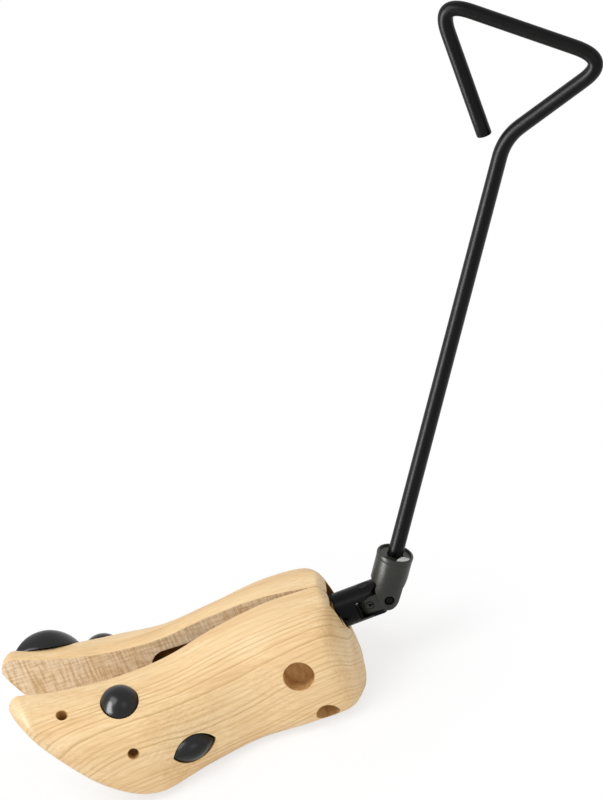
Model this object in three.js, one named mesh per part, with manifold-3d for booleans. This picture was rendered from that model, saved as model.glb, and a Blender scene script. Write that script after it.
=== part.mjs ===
// Wooden shoe stretcher: a last split lengthwise into two hinged halves. A crank handle on a universal
// joint turns a threaded spindle, and a nut on the spindle spreads the halves through two cam arms.
// Millimetres, +Z up. The last stands on its sole with the toe towards -X and the handle towards +X.
// Sizes along X are counted from the vertical hinge axis of the two halves, near the heel.

import * as THREE from 'three';
import { mergeVertices } from 'three/addons/utils/BufferGeometryUtils.js';
import Module from 'manifold-3d';

const wasm = await Module();
wasm.setup();

// Clearances
const SEAT_GAP = 0.3;
const RUNNING_GAP = 0.3;
const KERF = 0.6;

// The last, closed: stations from toe to heel give shares of the length, half width and height at the top
const LAST_LENGTH = 222;
const LAST_HALF_WIDTH = 49.5;
const LAST_HEIGHT = 92;
const HEEL_OVERHANG = 14;
const STATIONS = [
  { share: 0, half: 0.384, top: 1 },
  { share: 0.063, half: 0.576, top: 0.935 },
  { share: 0.162, half: 0.848, top: 0.853 },
  { share: 0.315, half: 0.98, top: 0.777 },
  { share: 0.473, half: 0.808, top: 0.761 },
  { share: 0.63, half: 0.747, top: 0.815 },
  { share: 0.788, half: 0.949, top: 0.837 },
  { share: 0.923, half: 1, top: 0.804 },
  { share: 1, half: 0.646, top: 0.772 },
];
const TOE_SPRING = 74;
const TOE_SPRING_LENGTH = 75;
const TOE_ROUND_PLAN = 9.5;
const TOE_ROUND_SIDE = 9.7;
const HEEL_ROUND_PLAN = 23.5;
const HEEL_ROUND_TOP = 11;
const HEEL_ROUND_SOLE = 7;
const SOLE_CUT = 2.5;
const SECTION_BLEND_LENGTH = 150;
const TOE_SECTION = { upper: 2.2, lower: 3.4, widest: 0.27 };
const HEEL_SECTION = { upper: 2.9, lower: 2.9, widest: 0.31 };
const RINGS = 40;
const RING_POINTS = 22;

// Opening of each half about the hinge axis, in degrees
const OPEN_CLOSED = 0.3;
const OPEN_REST = 6.4;
const OPEN_MOST = 8.84;

// Spindle, bearing block and thrust washers
const SPINDLE_HEIGHT = 49.3;
const JOURNAL_D = 8;
const THREAD_D = 12;
const THREAD_LENGTH = 70;
const TIP_D = 6;
const STOP_D = 14;
const STOP_LENGTH = 4;
const BLOCK_FRONT = 10;
const BLOCK_BACK = 8;
const BLOCK_WIDTH = 14;
const BLOCK_HEIGHT = 17.4;
const WASHER_D = 15;
const WASHER_THICKNESS = 1.4;
const HINGE_PIN_D = 4;
const HINGE_PIN_HEAD_D = 7;
const HINGE_PIN_HEAD = 1.2;
const HINGE_PIN_SUNK = 3.4;

// Expander nut, its drive pins and its travel from the hinge axis
const NUT_AT_CLOSED = 42;
const NUT_AT_REST = 62;
const NUT_AT_MOST = 70;
const NUT_LENGTH = 20;
const NUT_WIDTH = 26.2;
const NUT_HEIGHT = 15.4;
const DRIVE_PIN_D = 4.4;
const DRIVE_PIN_OFFSET = 9.4;
const DRIVE_PIN_SUNK = 13;

// Cam arm: a flange on the pocket wall, two hinge ears and a web with the curved slot
const ARM_THICKNESS = 2.5;
const ARM_WALL = 14;
const ARM_FRONT = 92;
const ARM_BACK = 6;
const ARM_HEIGHT = 21;
const EAR_THICKNESS = 1.5;
const EAR_RADIUS = 6;
const WEB_MARGIN = 3;
const WEB_LIFT = 0.5;
const SLOT_STEPS = 8;
const SCREW_PLACES = [-12, -48, -88];
const SCREW_D = 3.6;
const SCREW_HEAD_D = 7;
const SCREW_HEAD_DEPTH = 1.6;
const SCREW_LENGTH = 16;
const SCREW_POINT = 4;

// Pocket for the mechanism, sawn into both inner faces
const POCKET_HEIGHT = 22;
const POCKET_FRONT = 105;
const HINGE_POCKET_FRONT = 24;
const HINGE_POCKET_HEIGHT = 31;
const HEEL_WALL = 3.5;

// Universal joint
const YOKE_D = 23.6;
const YOKE_PIN_AT = 32;
const FOLD_PIN_AT = 45;
const YOKE_BORE_CLEARANCE = 2.3;
const YOKE_SHANK_DEPTH = 10;
const YOKE_END_RADIUS = 8.4;
const CROSS_PIN_D = 3;
const CROSS_PIN_LENGTH = 21;
const LINK_THICKNESS = 12;
const LINK_WIDTH = 15;
const LINK_END_GAP = 1;
const YOKE_PIN_D = 7;
const ROLL_PIN_D = 4.2;
const ROLL_PIN_BORE = 2.2;
const ROLL_PIN_SLIT = 0.8;
const FOLD_PIN_D = 6;
const FOLD_PIN_RECESS = 0.8;

// Handle
const HANDLE_BEND = 56.7;
const SOCKET_D = YOKE_D + 0.4;
const SOCKET_OFFSET = 1.6;
const SOCKET_EAR_RADIUS = 6.8;
const SOCKET_LENGTH = 29.5;
const SOCKET_FULL_AT = 15;
const SOCKET_SLOT_DEPTH = 11;
const SOCKET_CHAMFER = 1;
const SOCKET_BORE_DEPTH = 15;
const ROD_D = 10;
const ROD_BORE = 6;
const ROD_TO_BEND = 339.2;
const LOOP_HEIGHT = 77.8;
const LOOP_RIGHT = 53.5;
const LOOP_LEFT = 65;
const LOOP_TURN = 23;
const NECK_BEND_RADIUS = 46;
const LOOP_BEND_RADIUS = 13;
const LOOP_END_RISE = -2.7;
const LOOP_END_OFFSET = 13;
const LOOP_STEPS = 64;
const LOOP_NECK = 20;
const WELD_D = 4;
const WELD_ARC = 100;
const WELD_TURN = -135;

// Holes and plugs: share of the length from the toe, and degrees round the section from the top edge
const PEG_HOLE_D = 7;
const PEG_HOLE_DEPTH = 14;
const PEG_D = 6.4;
const PEG_LENGTH = 12;
const PLUG_SEAT_DEPTH = 1.6;
const TOP_TOE_HOLE = { share: 0.134, around: 32.8 };
const TOP_BALL_HOLE = { share: 0.302, around: 25.3, lean: 9 };
const RIGHT_TOE_HOLE = { share: 0.128, around: 37 };
const RIGHT_BALL_HOLE = { share: 0.26, around: 59 };
const RIGHT_SIDE_HOLE = { share: 0.335, around: 78 };
const SIDE_BALL_HOLE = { share: 0.278, around: 72 };
const SIDE_WAIST_HOLE = { share: 0.445, around: 88 };
const HEEL_HOLE = { share: 0.804, around: 75.3, diameter: 20, depth: 14 };
const LOW_HEEL_HOLE = { share: 0.84, around: 111, diameter: 15.5, depth: 12 };
const ROUND_PLUG = { length: 24.6, width: 24.6, height: 8.6, turn: 0 };
const OVAL_PLUG = { length: 31, width: 18, height: 7, turn: 8 };
const LARGE_PLUG = { length: 45, width: 27, height: 12.5, turn: 0 };
const PLUG_RIM = 0.8;
const OUTLINE_POINTS = 28;
const DOME_ROWS = [0.22, 0.43, 0.62, 0.78, 0.9, 1];

// Materials
const finish = (color, roughness, metalness) => new THREE.MeshStandardMaterial({ color, roughness, metalness });
const PINE = () => finish('#dfb883', 0.62, 0);
const BLACK_STEEL = () => finish('#1c1c1e', 0.42, 0.6);
const GLOSS_BLACK_STEEL = () => finish('#111113', 0.25, 0.6);
const ZINC_STEEL = () => finish('#9a9ea3', 0.38, 0.9);
const BRIGHT_STEEL = () => finish('#c9cdd2', 0.25, 1);
const BRASS = () => finish('#b08d43', 0.35, 1);
const BLACK_PLASTIC = () => finish('#131316', 0.22, 0);

// Solids
function toSolid(geometry) {
  const bare = geometry.clone();
  for (const name of Object.keys(bare.attributes)) {
    if (name !== 'position') bare.deleteAttribute(name);
  }
  const merged = mergeVertices(bare, 1e-4);
  const corners = merged.index.array;
  const kept = [];
  for (let i = 0; i < corners.length; i += 3) {
    const [a, b, c] = [corners[i], corners[i + 1], corners[i + 2]];
    if (a !== b && b !== c && c !== a) kept.push(a, b, c);
  }
  return new wasm.Manifold(new wasm.Mesh({
    numProp: 3,
    vertProperties: Float32Array.from(merged.attributes.position.array),
    triVerts: Uint32Array.from(kept),
  }));
}

function toGeometry(solid) {
  const { vertProperties, triVerts } = solid.getMesh();
  const geometry = new THREE.BufferGeometry();
  geometry.setAttribute('position', new THREE.BufferAttribute(vertProperties, 3));
  geometry.setIndex(new THREE.BufferAttribute(triVerts, 1));
  geometry.computeVertexNormals();
  return geometry;
}

function cut(geometry, tools) {
  const result = tools.reduce((solid, tool) => solid.subtract(toSolid(tool)), toSolid(geometry));
  return toGeometry(result);
}

function join(geometries) {
  return toGeometry(geometries.map(toSolid).reduce((whole, piece) => whole.add(piece)));
}

function common(first, second) {
  return toGeometry(toSolid(first).intersect(toSolid(second)));
}

function box(x0, x1, y0, y1, z0, z1) {
  const block = new THREE.BoxGeometry(x1 - x0, y1 - y0, z1 - z0);
  return block.translate((x0 + x1) / 2, (y0 + y1) / 2, (z0 + z1) / 2);
}

// A body of revolution about +X, from a profile of [radius, x] points that starts and ends on the axis
function turned(profile, sides = 24) {
  const points = profile.map(([radius, x]) => new THREE.Vector2(radius, x));
  return new THREE.LatheGeometry(points, sides).rotateZ(-Math.PI / 2);
}

const rod = (diameter, x0, x1, sides) =>
  turned([[0, x0], [diameter / 2, x0], [diameter / 2, x1], [0, x1]], sides);
const alongY = (geometry) => geometry.rotateZ(Math.PI / 2);
const alongZ = (geometry) => geometry.rotateY(-Math.PI / 2);

function ring(outer, inner, x0, x1) {
  return turned([[inner / 2, x0], [outer / 2, x0], [outer / 2, x1], [inner / 2, x1], [inner / 2, x0]]);
}

// A flat plate in the XY plane between two heights
function plate(shape, z0, z1, curveSegments = 8) {
  return new THREE.ExtrudeGeometry(shape, { depth: z1 - z0, bevelEnabled: false, curveSegments }).translate(0, 0, z0);
}

function piece(name, geometry, material) {
  const mesh = new THREE.Mesh(geometry, material);
  mesh.name = name;
  return mesh;
}

// Shape of the last
const hingeStation = LAST_LENGTH - HEEL_OVERHANG;

// Smooth interpolation through the stations, with slopes taken from each station's neighbours
function alongStations(key, share) {
  const slopeAt = (i) => {
    const before = STATIONS[Math.max(i - 1, 0)];
    const after = STATIONS[Math.min(i + 1, STATIONS.length - 1)];
    return (after[key] - before[key]) / (after.share - before.share);
  };
  let i = STATIONS.findIndex((station) => station.share >= share) - 1;
  i = Math.max(i, 0);
  const step = STATIONS[i + 1].share - STATIONS[i].share;
  const u = (share - STATIONS[i].share) / step;
  const start = STATIONS[i][key] * (1 + 2 * u) * (1 - u) ** 2 + slopeAt(i) * step * u * (1 - u) ** 2;
  const end = STATIONS[i + 1][key] * u * u * (3 - 2 * u) + slopeAt(i + 1) * step * u * u * (u - 1);
  return start + end;
}

// Quarter-ellipse closing factor: 0 at the tip and 1 from the given length on
const closing = (distance, length) => Math.sqrt(Math.max(0, 1 - Math.max(0, 1 - distance / length) ** 2));

// A point on the closed last's surface; around runs from 0 at the top edge to pi at the sole, side is -1 or 1
function surfacePoint(along, around, side) {
  const share = THREE.MathUtils.clamp(along / LAST_LENGTH, 0, 1);
  const toHeel = LAST_LENGTH - along;
  const blend = THREE.MathUtils.smoothstep(along, 0, SECTION_BLEND_LENGTH);
  const mix = (key) => THREE.MathUtils.lerp(TOE_SECTION[key], HEEL_SECTION[key], blend);
  const half = LAST_HALF_WIDTH * alongStations('half', share)
    * Math.min(closing(along, TOE_ROUND_PLAN), closing(toHeel, HEEL_ROUND_PLAN));
  const rise = Math.max(0, 1 - along / TOE_SPRING_LENGTH) ** 2;
  const sole = TOE_SPRING * rise - SOLE_CUT * (1 - rise);
  const top = LAST_HEIGHT * alongStations('top', share);
  const middle = sole + mix('widest') * (top - sole);
  const upwards = Math.cos(around) >= 0;
  const heelRound = upwards ? HEEL_ROUND_TOP : HEEL_ROUND_SOLE;
  const round = Math.min(closing(along, TOE_ROUND_SIDE), closing(toHeel, heelRound));
  const power = 2 / mix(upwards ? 'upper' : 'lower');
  const out = Math.sin(around) ** power;
  const up = Math.abs(Math.cos(around)) ** power;
  const height = upwards ? (top - middle) * up : (sole - middle) * up;
  return new THREE.Vector3(along - hingeStation, side * (half * out + KERF / 2), middle + round * height);
}

function surfaceNormal(along, around, side) {
  const STEP = 0.01;
  const lengthwise = surfacePoint(along + STEP, around, side).sub(surfacePoint(along - STEP, around, side));
  const crosswise = surfacePoint(along, around + STEP, side).sub(surfacePoint(along, around - STEP, side));
  return lengthwise.cross(crosswise).multiplyScalar(side).normalize();
}

// One half of the last as a closed loft, flat on its inner face
function halfBlank(side) {
  const positions = [];
  const index = [];
  const columns = RING_POINTS + 1;
  for (let i = 0; i <= RINGS; i += 1) {
    const along = LAST_LENGTH * (0.5 - 0.5 * Math.cos((Math.PI * i) / RINGS));
    for (let j = 0; j <= RING_POINTS; j += 1) {
      positions.push(...surfacePoint(along, (Math.PI * j) / RING_POINTS, side).toArray());
    }
  }
  const face = (a, b, c) => index.push(...(side > 0 ? [a, b, c] : [a, c, b]));
  for (let i = 0; i < RINGS; i += 1) {
    const here = i * columns;
    const next = here + columns;
    for (let j = 0; j < RING_POINTS; j += 1) {
      face(here + j, next + j, here + j + 1);
      face(next + j, next + j + 1, here + j + 1);
    }
    face(here, here + RING_POINTS, next);
    face(next, here + RING_POINTS, next + RING_POINTS);
  }
  const geometry = new THREE.BufferGeometry();
  geometry.setAttribute('position', new THREE.Float32BufferAttribute(positions, 3));
  geometry.setIndex(index);
  return geometry;
}

// A frame on the last's surface whose +X points out along the hole's axis and +Y runs towards the heel;
// a hole that leans is drilled that many degrees off square, with its mouth turned towards the sole
function surfaceFrame({ share, around, lean = 0 }, side) {
  const along = share * LAST_LENGTH;
  const angle = THREE.MathUtils.degToRad(around);
  const out = surfaceNormal(along, angle, side);
  const heelwards = surfacePoint(along + 1, angle, side).sub(surfacePoint(along - 1, angle, side));
  heelwards.addScaledVector(out, -heelwards.dot(out)).normalize();
  out.applyAxisAngle(heelwards, -side * THREE.MathUtils.degToRad(lean));
  const across = new THREE.Vector3().crossVectors(out, heelwards);
  return new THREE.Matrix4().makeBasis(out, heelwards, across).setPosition(surfacePoint(along, angle, side));
}

function boredHole(place, side, diameter, depth) {
  return rod(diameter, -depth, LAST_LENGTH / 10).applyMatrix4(surfaceFrame(place, side));
}

// Pointed-oval or round outline of a plug: two arcs in the plane square to its axis
function plugOutline({ length, width }, grow) {
  const halfLength = length / 2 + grow;
  const halfWidth = width / 2 + grow;
  const radius = (halfLength ** 2 + halfWidth ** 2) / (2 * halfWidth);
  const reach = Math.asin(Math.min(1, halfLength / radius));
  return Array.from({ length: OUTLINE_POINTS }, (_, i) => {
    const share = (2 * i) / OUTLINE_POINTS;
    const sign = share < 1 ? 1 : -1;
    const angle = reach * (1 - 2 * (share % 1));
    const rise = radius * Math.cos(angle) - radius + halfWidth;
    return new THREE.Vector2(sign * radius * Math.sin(angle), sign * rise);
  });
}

// Shallow flat seat that a plug's rim sits in
function plugSeat(place, side, plug) {
  const prism = plate(new THREE.Shape(plugOutline(plug, SEAT_GAP)), -PLUG_SEAT_DEPTH, LAST_LENGTH / 10);
  const turn = THREE.MathUtils.degToRad(plug.turn) * side;
  prism.rotateZ(turn).applyMatrix4(new THREE.Matrix4().makeRotationY(Math.PI / 2));
  prism.rotateX(Math.PI / 2);
  return prism.applyMatrix4(surfaceFrame(place, side));
}

// Dome that tapers from its middle to a thin rim all round its outline, standing on a flat foot
function domeGeometry(plug) {
  const outline = plugOutline(plug, 0);
  const count = outline.length;
  const rise = plug.height - PLUG_RIM;
  const radius = ((plug.length / 2) ** 2 + rise ** 2) / (2 * rise);
  const positions = [0, 0, plug.height];
  for (const share of DOME_ROWS) {
    const drop = radius - Math.sqrt(radius ** 2 - ((plug.length / 2) * share) ** 2);
    for (const point of outline) positions.push(point.x * share, point.y * share, plug.height - drop);
  }
  for (const point of outline) positions.push(point.x, point.y, 0);
  positions.push(0, 0, 0);
  const index = [];
  const foot = 1 + DOME_ROWS.length * count;
  for (let k = 0; k < count; k += 1) {
    const ahead = (k + 1) % count;
    index.push(0, 1 + k, 1 + ahead);
    for (let row = 1; row < foot; row += count) {
      index.push(row + k, row + count + k, row + count + ahead);
      index.push(row + k, row + count + ahead, row + ahead);
    }
    index.push(foot + ahead, foot + k, foot + count);
  }
  const geometry = new THREE.BufferGeometry();
  geometry.setAttribute('position', new THREE.Float32BufferAttribute(positions, 3));
  geometry.setIndex(index);
  return geometry;
}

// A domed push-in plug with its peg
function plugGeometry(place, side, plug) {
  const peg = alongZ(rod(PEG_D, -PEG_LENGTH, 1, 16));
  const whole = join([domeGeometry(plug), peg]);
  const turn = THREE.MathUtils.degToRad(plug.turn) * side;
  whole.rotateZ(turn).rotateY(Math.PI / 2).rotateX(Math.PI / 2);
  whole.translate(SEAT_GAP - PLUG_SEAT_DEPTH, 0, 0);
  return whole.applyMatrix4(surfaceFrame(place, side));
}

// Pockets and bores of the mechanism in one half
function mechanismCuts(side) {
  const low = side < 0 ? -(ARM_WALL + ARM_THICKNESS + SEAT_GAP) : -1;
  const high = side < 0 ? 1 : ARM_WALL + ARM_THICKNESS + SEAT_GAP;
  const z = SPINDLE_HEIGHT;
  const slot = new THREE.Shape();
  slot.absarc(-POCKET_FRONT, z, POCKET_HEIGHT / 2, Math.PI / 2, Math.PI * 1.5, false);
  slot.lineTo(0, z - POCKET_HEIGHT / 2);
  slot.lineTo(0, z + POCKET_HEIGHT / 2);
  slot.closePath();
  const pocket = new THREE.ExtrudeGeometry(slot, { depth: high - low, bevelEnabled: false, curveSegments: 8 });
  pocket.rotateX(Math.PI / 2).translate(0, high, 0);
  const back = HEEL_OVERHANG - HEEL_WALL;
  const hingePocket = box(-HINGE_POCKET_FRONT, back, low, high, z - HINGE_POCKET_HEIGHT / 2, z + HINGE_POCKET_HEIGHT / 2);
  const yokeBore = rod(YOKE_D + 2 * YOKE_BORE_CLEARANCE, 0, HEEL_OVERHANG + 1, 32).translate(0, 0, z);
  const relief = box(0, LAST_LENGTH, 0, LAST_LENGTH, -LAST_LENGTH, LAST_LENGTH);
  if (side > 0) relief.translate(0, -LAST_LENGTH, 0);
  relief.rotateZ(side * THREE.MathUtils.degToRad(OPEN_MOST)).translate(0, (side * KERF) / 2, 0);
  const screwHoles = SCREW_PLACES.map((x) => screwAt(x, side, SEAT_GAP));
  return [pocket, hingePocket, yokeBore, relief, ...screwHoles];
}

// Countersunk wood screw through the arm's flange into the wood, or the hole for it when grown
function screwAt(x, side, grow) {
  const shank = SCREW_D / 2 + grow;
  const profile = [
    [0, -grow],
    [SCREW_HEAD_D / 2 + grow, -grow],
    [SCREW_HEAD_D / 2 + grow, 0.4],
    [shank, SCREW_HEAD_DEPTH + grow],
    [shank, SCREW_LENGTH - SCREW_POINT + grow],
    [0, SCREW_LENGTH + 2 * grow],
  ];
  const screw = alongY(turned(profile, 16));
  if (side < 0) screw.rotateX(Math.PI);
  return screw.translate(x, side * ARM_WALL, SPINDLE_HEIGHT);
}

function half(side) {
  const holes = [
    boredHole(side < 0 ? TOP_TOE_HOLE : RIGHT_TOE_HOLE, side, PEG_HOLE_D, PEG_HOLE_DEPTH),
    boredHole(side < 0 ? TOP_BALL_HOLE : RIGHT_BALL_HOLE, side, PEG_HOLE_D, PEG_HOLE_DEPTH),
    boredHole(side < 0 ? SIDE_BALL_HOLE : RIGHT_SIDE_HOLE, side, PEG_HOLE_D, PEG_HOLE_DEPTH),
    boredHole(SIDE_WAIST_HOLE, side, PEG_HOLE_D, PEG_HOLE_DEPTH),
    boredHole(HEEL_HOLE, side, HEEL_HOLE.diameter, HEEL_HOLE.depth),
    boredHole(LOW_HEEL_HOLE, side, LOW_HEEL_HOLE.diameter, LOW_HEEL_HOLE.depth),
  ];
  const seats = PLUGS.filter((plug) => plug.side === side).map(({ place, form }) => plugSeat(place, side, form));
  const ground = box(-LAST_LENGTH, LAST_LENGTH, -LAST_LENGTH, LAST_LENGTH, -LAST_LENGTH, 0);
  return cut(halfBlank(side), [ground, ...mechanismCuts(side), ...holes, ...seats]);
}

// Which plug sits in which hole
const LEFT = -1;
const RIGHT = 1;
const PLUGS = [
  { name: 'left_round_plug', side: LEFT, place: TOP_BALL_HOLE, form: ROUND_PLUG },
  { name: 'left_oval_plug', side: LEFT, place: SIDE_WAIST_HOLE, form: OVAL_PLUG },
  { name: 'right_large_plug', side: RIGHT, place: RIGHT_TOE_HOLE, form: LARGE_PLUG },
  { name: 'right_round_plug', side: RIGHT, place: RIGHT_BALL_HOLE, form: ROUND_PLUG },
];

// Path of the drive pin in the left half's own frame while the nut travels
function camPath() {
  const points = [];
  for (let i = 0; i <= SLOT_STEPS; i += 1) {
    const from = THREE.MathUtils.lerp(NUT_AT_CLOSED, NUT_AT_MOST, i / SLOT_STEPS);
    const opening = THREE.MathUtils.mapLinear(from, NUT_AT_CLOSED, NUT_AT_REST, OPEN_CLOSED, OPEN_REST);
    points.push(new THREE.Vector2(-from, -DRIVE_PIN_OFFSET)
      .rotateAround(new THREE.Vector2(), -THREE.MathUtils.degToRad(opening)));
  }
  return points;
}

// Outline at a fixed distance round a path, with round ends
function outlineRound(points, radius) {
  const CAP_STEPS = 6;
  const outline = [];
  const side = (list) => list.forEach((point, i) => {
    const before = list[Math.max(i - 1, 0)];
    const after = list[Math.min(i + 1, list.length - 1)];
    const heading = after.clone().sub(before).angle();
    const sweep = i === list.length - 1 ? CAP_STEPS : 0;
    for (let k = 0; k <= sweep; k += 1) {
      const angle = heading - Math.PI / 2 + (k / CAP_STEPS) * Math.PI * (sweep ? 1 : 0);
      outline.push(new THREE.Vector2(Math.cos(angle), Math.sin(angle)).multiplyScalar(radius).add(point));
    }
  });
  side(points);
  side([...points].reverse());
  return outline.filter((point, i) => i === 0 || point.distanceTo(outline[i - 1]) > 1e-3);
}

// The left arm, about the spindle axis; the right arm is the same piece turned half round that axis
function armGeometry() {
  const outer = -(ARM_WALL + ARM_THICKNESS);
  const halfHeight = ARM_HEIGHT / 2;
  const earGap = RUNNING_GAP;
  const nearEar = BLOCK_HEIGHT / 2 + earGap;
  const farEar = nearEar + EAR_THICKNESS + earGap;
  const earShape = new THREE.Shape();
  earShape.moveTo(-EAR_RADIUS, outer);
  earShape.lineTo(EAR_RADIUS, outer);
  earShape.absarc(0, 0, EAR_RADIUS, 0, Math.PI, false);
  earShape.closePath();
  earShape.holes.push(new THREE.Path().absarc(0, 0, HINGE_PIN_D / 2 + RUNNING_GAP, 0, Math.PI * 2, true));
  const flange = box(-ARM_FRONT, ARM_BACK, outer, -ARM_WALL, -halfHeight, Math.max(halfHeight, nearEar + EAR_THICKNESS));
  const drop = box(-EAR_RADIUS, EAR_RADIUS, outer, -ARM_WALL, -farEar - EAR_THICKNESS, 0);
  const path = camPath();
  const pinRoom = DRIVE_PIN_D / 2 + RUNNING_GAP;
  const webBottom = NUT_HEIGHT / 2 + WEB_LIFT;
  const webTop = webBottom + ARM_THICKNESS;
  const rim = outlineRound(path, pinRoom + WEB_MARGIN);
  const ends = [...path].sort((a, b) => a.x - b.x);
  const reach = pinRoom + WEB_MARGIN;
  const root = box(ends[0].x - reach, ends.at(-1).x + reach, outer, -ARM_WALL, 0, webTop);
  const spread = new THREE.Shape([
    new THREE.Vector2(ends[0].x - reach, outer),
    new THREE.Vector2(ends.at(-1).x + reach, outer),
    ends.at(-1).clone().add(new THREE.Vector2(reach, 0)),
    ends[0].clone().add(new THREE.Vector2(-reach, 0)),
  ]);
  const web = join([plate(new THREE.Shape(rim), webBottom, webTop), plate(spread, webBottom, webTop)]);
  const solid = join([
    flange,
    drop,
    root,
    web,
    plate(earShape, nearEar, nearEar + EAR_THICKNESS),
    plate(earShape, -farEar - EAR_THICKNESS, -farEar),
  ]);
  const slot = plate(new THREE.Shape(outlineRound(path, pinRoom)), webBottom - 1, webTop + 1);
  const screwHoles = SCREW_PLACES.map((x) => screwAt(x, LEFT, SEAT_GAP).translate(0, 0, -SPINDLE_HEIGHT));
  return cut(solid, [slot, ...screwHoles]);
}

function arm(side) {
  const geometry = armGeometry();
  if (side > 0) geometry.rotateX(Math.PI);
  return geometry.translate(0, 0, SPINDLE_HEIGHT);
}

// One half of the last with all that is fixed to it, swung open to its rest angle
function halfAssembly(side) {
  const word = side < 0 ? 'left' : 'right';
  const group = new THREE.Group();
  group.add(piece(`${word}_half`, half(side), PINE()));
  group.add(piece(`${word}_cam_arm`, arm(side), ZINC_STEEL()));
  SCREW_PLACES.forEach((x, i) => {
    group.add(piece(`${word}_arm_screw_${i + 1}`, screwAt(x, side, 0), ZINC_STEEL()));
  });
  for (const plug of PLUGS.filter((entry) => entry.side === side)) {
    group.add(piece(plug.name, plugGeometry(plug.place, side, plug.form), BLACK_PLASTIC()));
  }
  group.rotation.z = -side * THREE.MathUtils.degToRad(OPEN_REST);
  return group;
}

// Bearing block with the two stub pins that both arms hinge on
function bearing() {
  const group = new THREE.Group();
  const bore = rod(JOURNAL_D + 2 * RUNNING_GAP, -BLOCK_FRONT - 1, BLOCK_BACK + 1);
  const top = BLOCK_HEIGHT / 2;
  const earStack = 2 * (EAR_THICKNESS + RUNNING_GAP) + RUNNING_GAP;
  const pinHole = alongZ(rod(HINGE_PIN_D + 2 * SEAT_GAP, top - HINGE_PIN_SUNK - SEAT_GAP, top + 1, 16));
  const body = box(-BLOCK_FRONT, BLOCK_BACK, -BLOCK_WIDTH / 2, BLOCK_WIDTH / 2, -top, top);
  group.add(piece('bearing_block', cut(body, [bore, pinHole, pinHole.clone().rotateX(Math.PI)]), ZINC_STEEL()));
  const pin = alongZ(turned([
    [0, top - HINGE_PIN_SUNK],
    [HINGE_PIN_D / 2, top - HINGE_PIN_SUNK],
    [HINGE_PIN_D / 2, top + earStack],
    [HINGE_PIN_HEAD_D / 2, top + earStack],
    [HINGE_PIN_HEAD_D / 2, top + earStack + HINGE_PIN_HEAD],
    [0, top + earStack + HINGE_PIN_HEAD],
  ], 16));
  group.add(piece('upper_hinge_pin', pin, BRIGHT_STEEL()));
  group.add(piece('lower_hinge_pin', pin.clone().rotateX(Math.PI), BRIGHT_STEEL()));
  return group;
}

// Places along the spindle, from the bearing block outwards
const frontWasherAt = -BLOCK_FRONT - RUNNING_GAP;
const threadStart = frontWasherAt - WASHER_THICKNESS - RUNNING_GAP;
const threadEnd = threadStart - THREAD_LENGTH;
const stopEnd = threadEnd - SEAT_GAP - STOP_LENGTH;
const rearWasherAt = BLOCK_BACK + RUNNING_GAP;
const yokeFace = rearWasherAt + WASHER_THICKNESS + RUNNING_GAP;
const shankEnd = yokeFace + YOKE_SHANK_DEPTH;
const crossPinAt = yokeFace + YOKE_SHANK_DEPTH / 2;
const linkRear = YOKE_PIN_AT - LINK_WIDTH / 2;

function spindle() {
  const group = new THREE.Group();
  const screw = turned([
    [0, stopEnd - SEAT_GAP],
    [TIP_D / 2, stopEnd - SEAT_GAP],
    [TIP_D / 2, threadEnd],
    [THREAD_D / 2, threadEnd],
    [THREAD_D / 2, threadStart],
    [JOURNAL_D / 2, threadStart],
    [JOURNAL_D / 2, shankEnd],
    [0, shankEnd],
  ]);
  const crossHole = alongY(rod(CROSS_PIN_D + 2 * SEAT_GAP, -YOKE_D, YOKE_D, 12)).translate(crossPinAt, 0, 0);
  group.add(piece('spindle_screw', cut(screw, [crossHole]), ZINC_STEEL()));
  const stop = ring(STOP_D, TIP_D + 2 * SEAT_GAP, stopEnd, stopEnd + STOP_LENGTH);
  group.add(piece('spindle_stop', stop, ZINC_STEEL()));
  const washerBore = JOURNAL_D + 2 * SEAT_GAP;
  const frontWasher = ring(WASHER_D, washerBore, frontWasherAt - WASHER_THICKNESS, frontWasherAt);
  group.add(piece('front_thrust_washer', frontWasher, BRASS()));
  const rearWasher = ring(WASHER_D, washerBore, rearWasherAt, rearWasherAt + WASHER_THICKNESS);
  group.add(piece('rear_thrust_washer', rearWasher, BRASS()));
  group.add(piece('spindle_yoke', yokeGeometry(crossHole), BLACK_STEEL()));
  const crossPin = alongY(rod(CROSS_PIN_D, -CROSS_PIN_LENGTH / 2, CROSS_PIN_LENGTH / 2, 12)).translate(crossPinAt, 0, 0);
  group.add(piece('yoke_cross_pin', crossPin, ZINC_STEEL()));
  return group;
}

// Round fork on the spindle's rear end, with its two ears above and below the link
function yokeGeometry(crossHole) {
  const end = YOKE_PIN_AT + YOKE_D;
  const bar = rod(YOKE_D, yokeFace, end, 32);
  const plan = new THREE.Shape();
  plan.moveTo(yokeFace - 1, -YOKE_D);
  plan.lineTo(YOKE_PIN_AT, -YOKE_D);
  plan.lineTo(YOKE_PIN_AT, -YOKE_END_RADIUS);
  plan.absarc(YOKE_PIN_AT, 0, YOKE_END_RADIUS, -Math.PI / 2, Math.PI / 2, false);
  plan.lineTo(YOKE_PIN_AT, YOKE_D);
  plan.lineTo(yokeFace - 1, YOKE_D);
  plan.closePath();
  const rounded = common(bar, plate(plan, -YOKE_D, YOKE_D, 12));
  const slotHalf = LINK_THICKNESS / 2 + RUNNING_GAP;
  const slot = box(linkRear - LINK_END_GAP, end, -YOKE_D, YOKE_D, -slotHalf, slotHalf);
  const shankBore = rod(JOURNAL_D + 2 * SEAT_GAP, yokeFace - 1, shankEnd + SEAT_GAP);
  const pinHole = alongZ(rod(YOKE_PIN_D + 2 * RUNNING_GAP, -YOKE_D, YOKE_D, 20)).translate(YOKE_PIN_AT, 0, 0);
  return cut(rounded, [slot, shankBore, pinHole, crossHole]);
}

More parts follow.
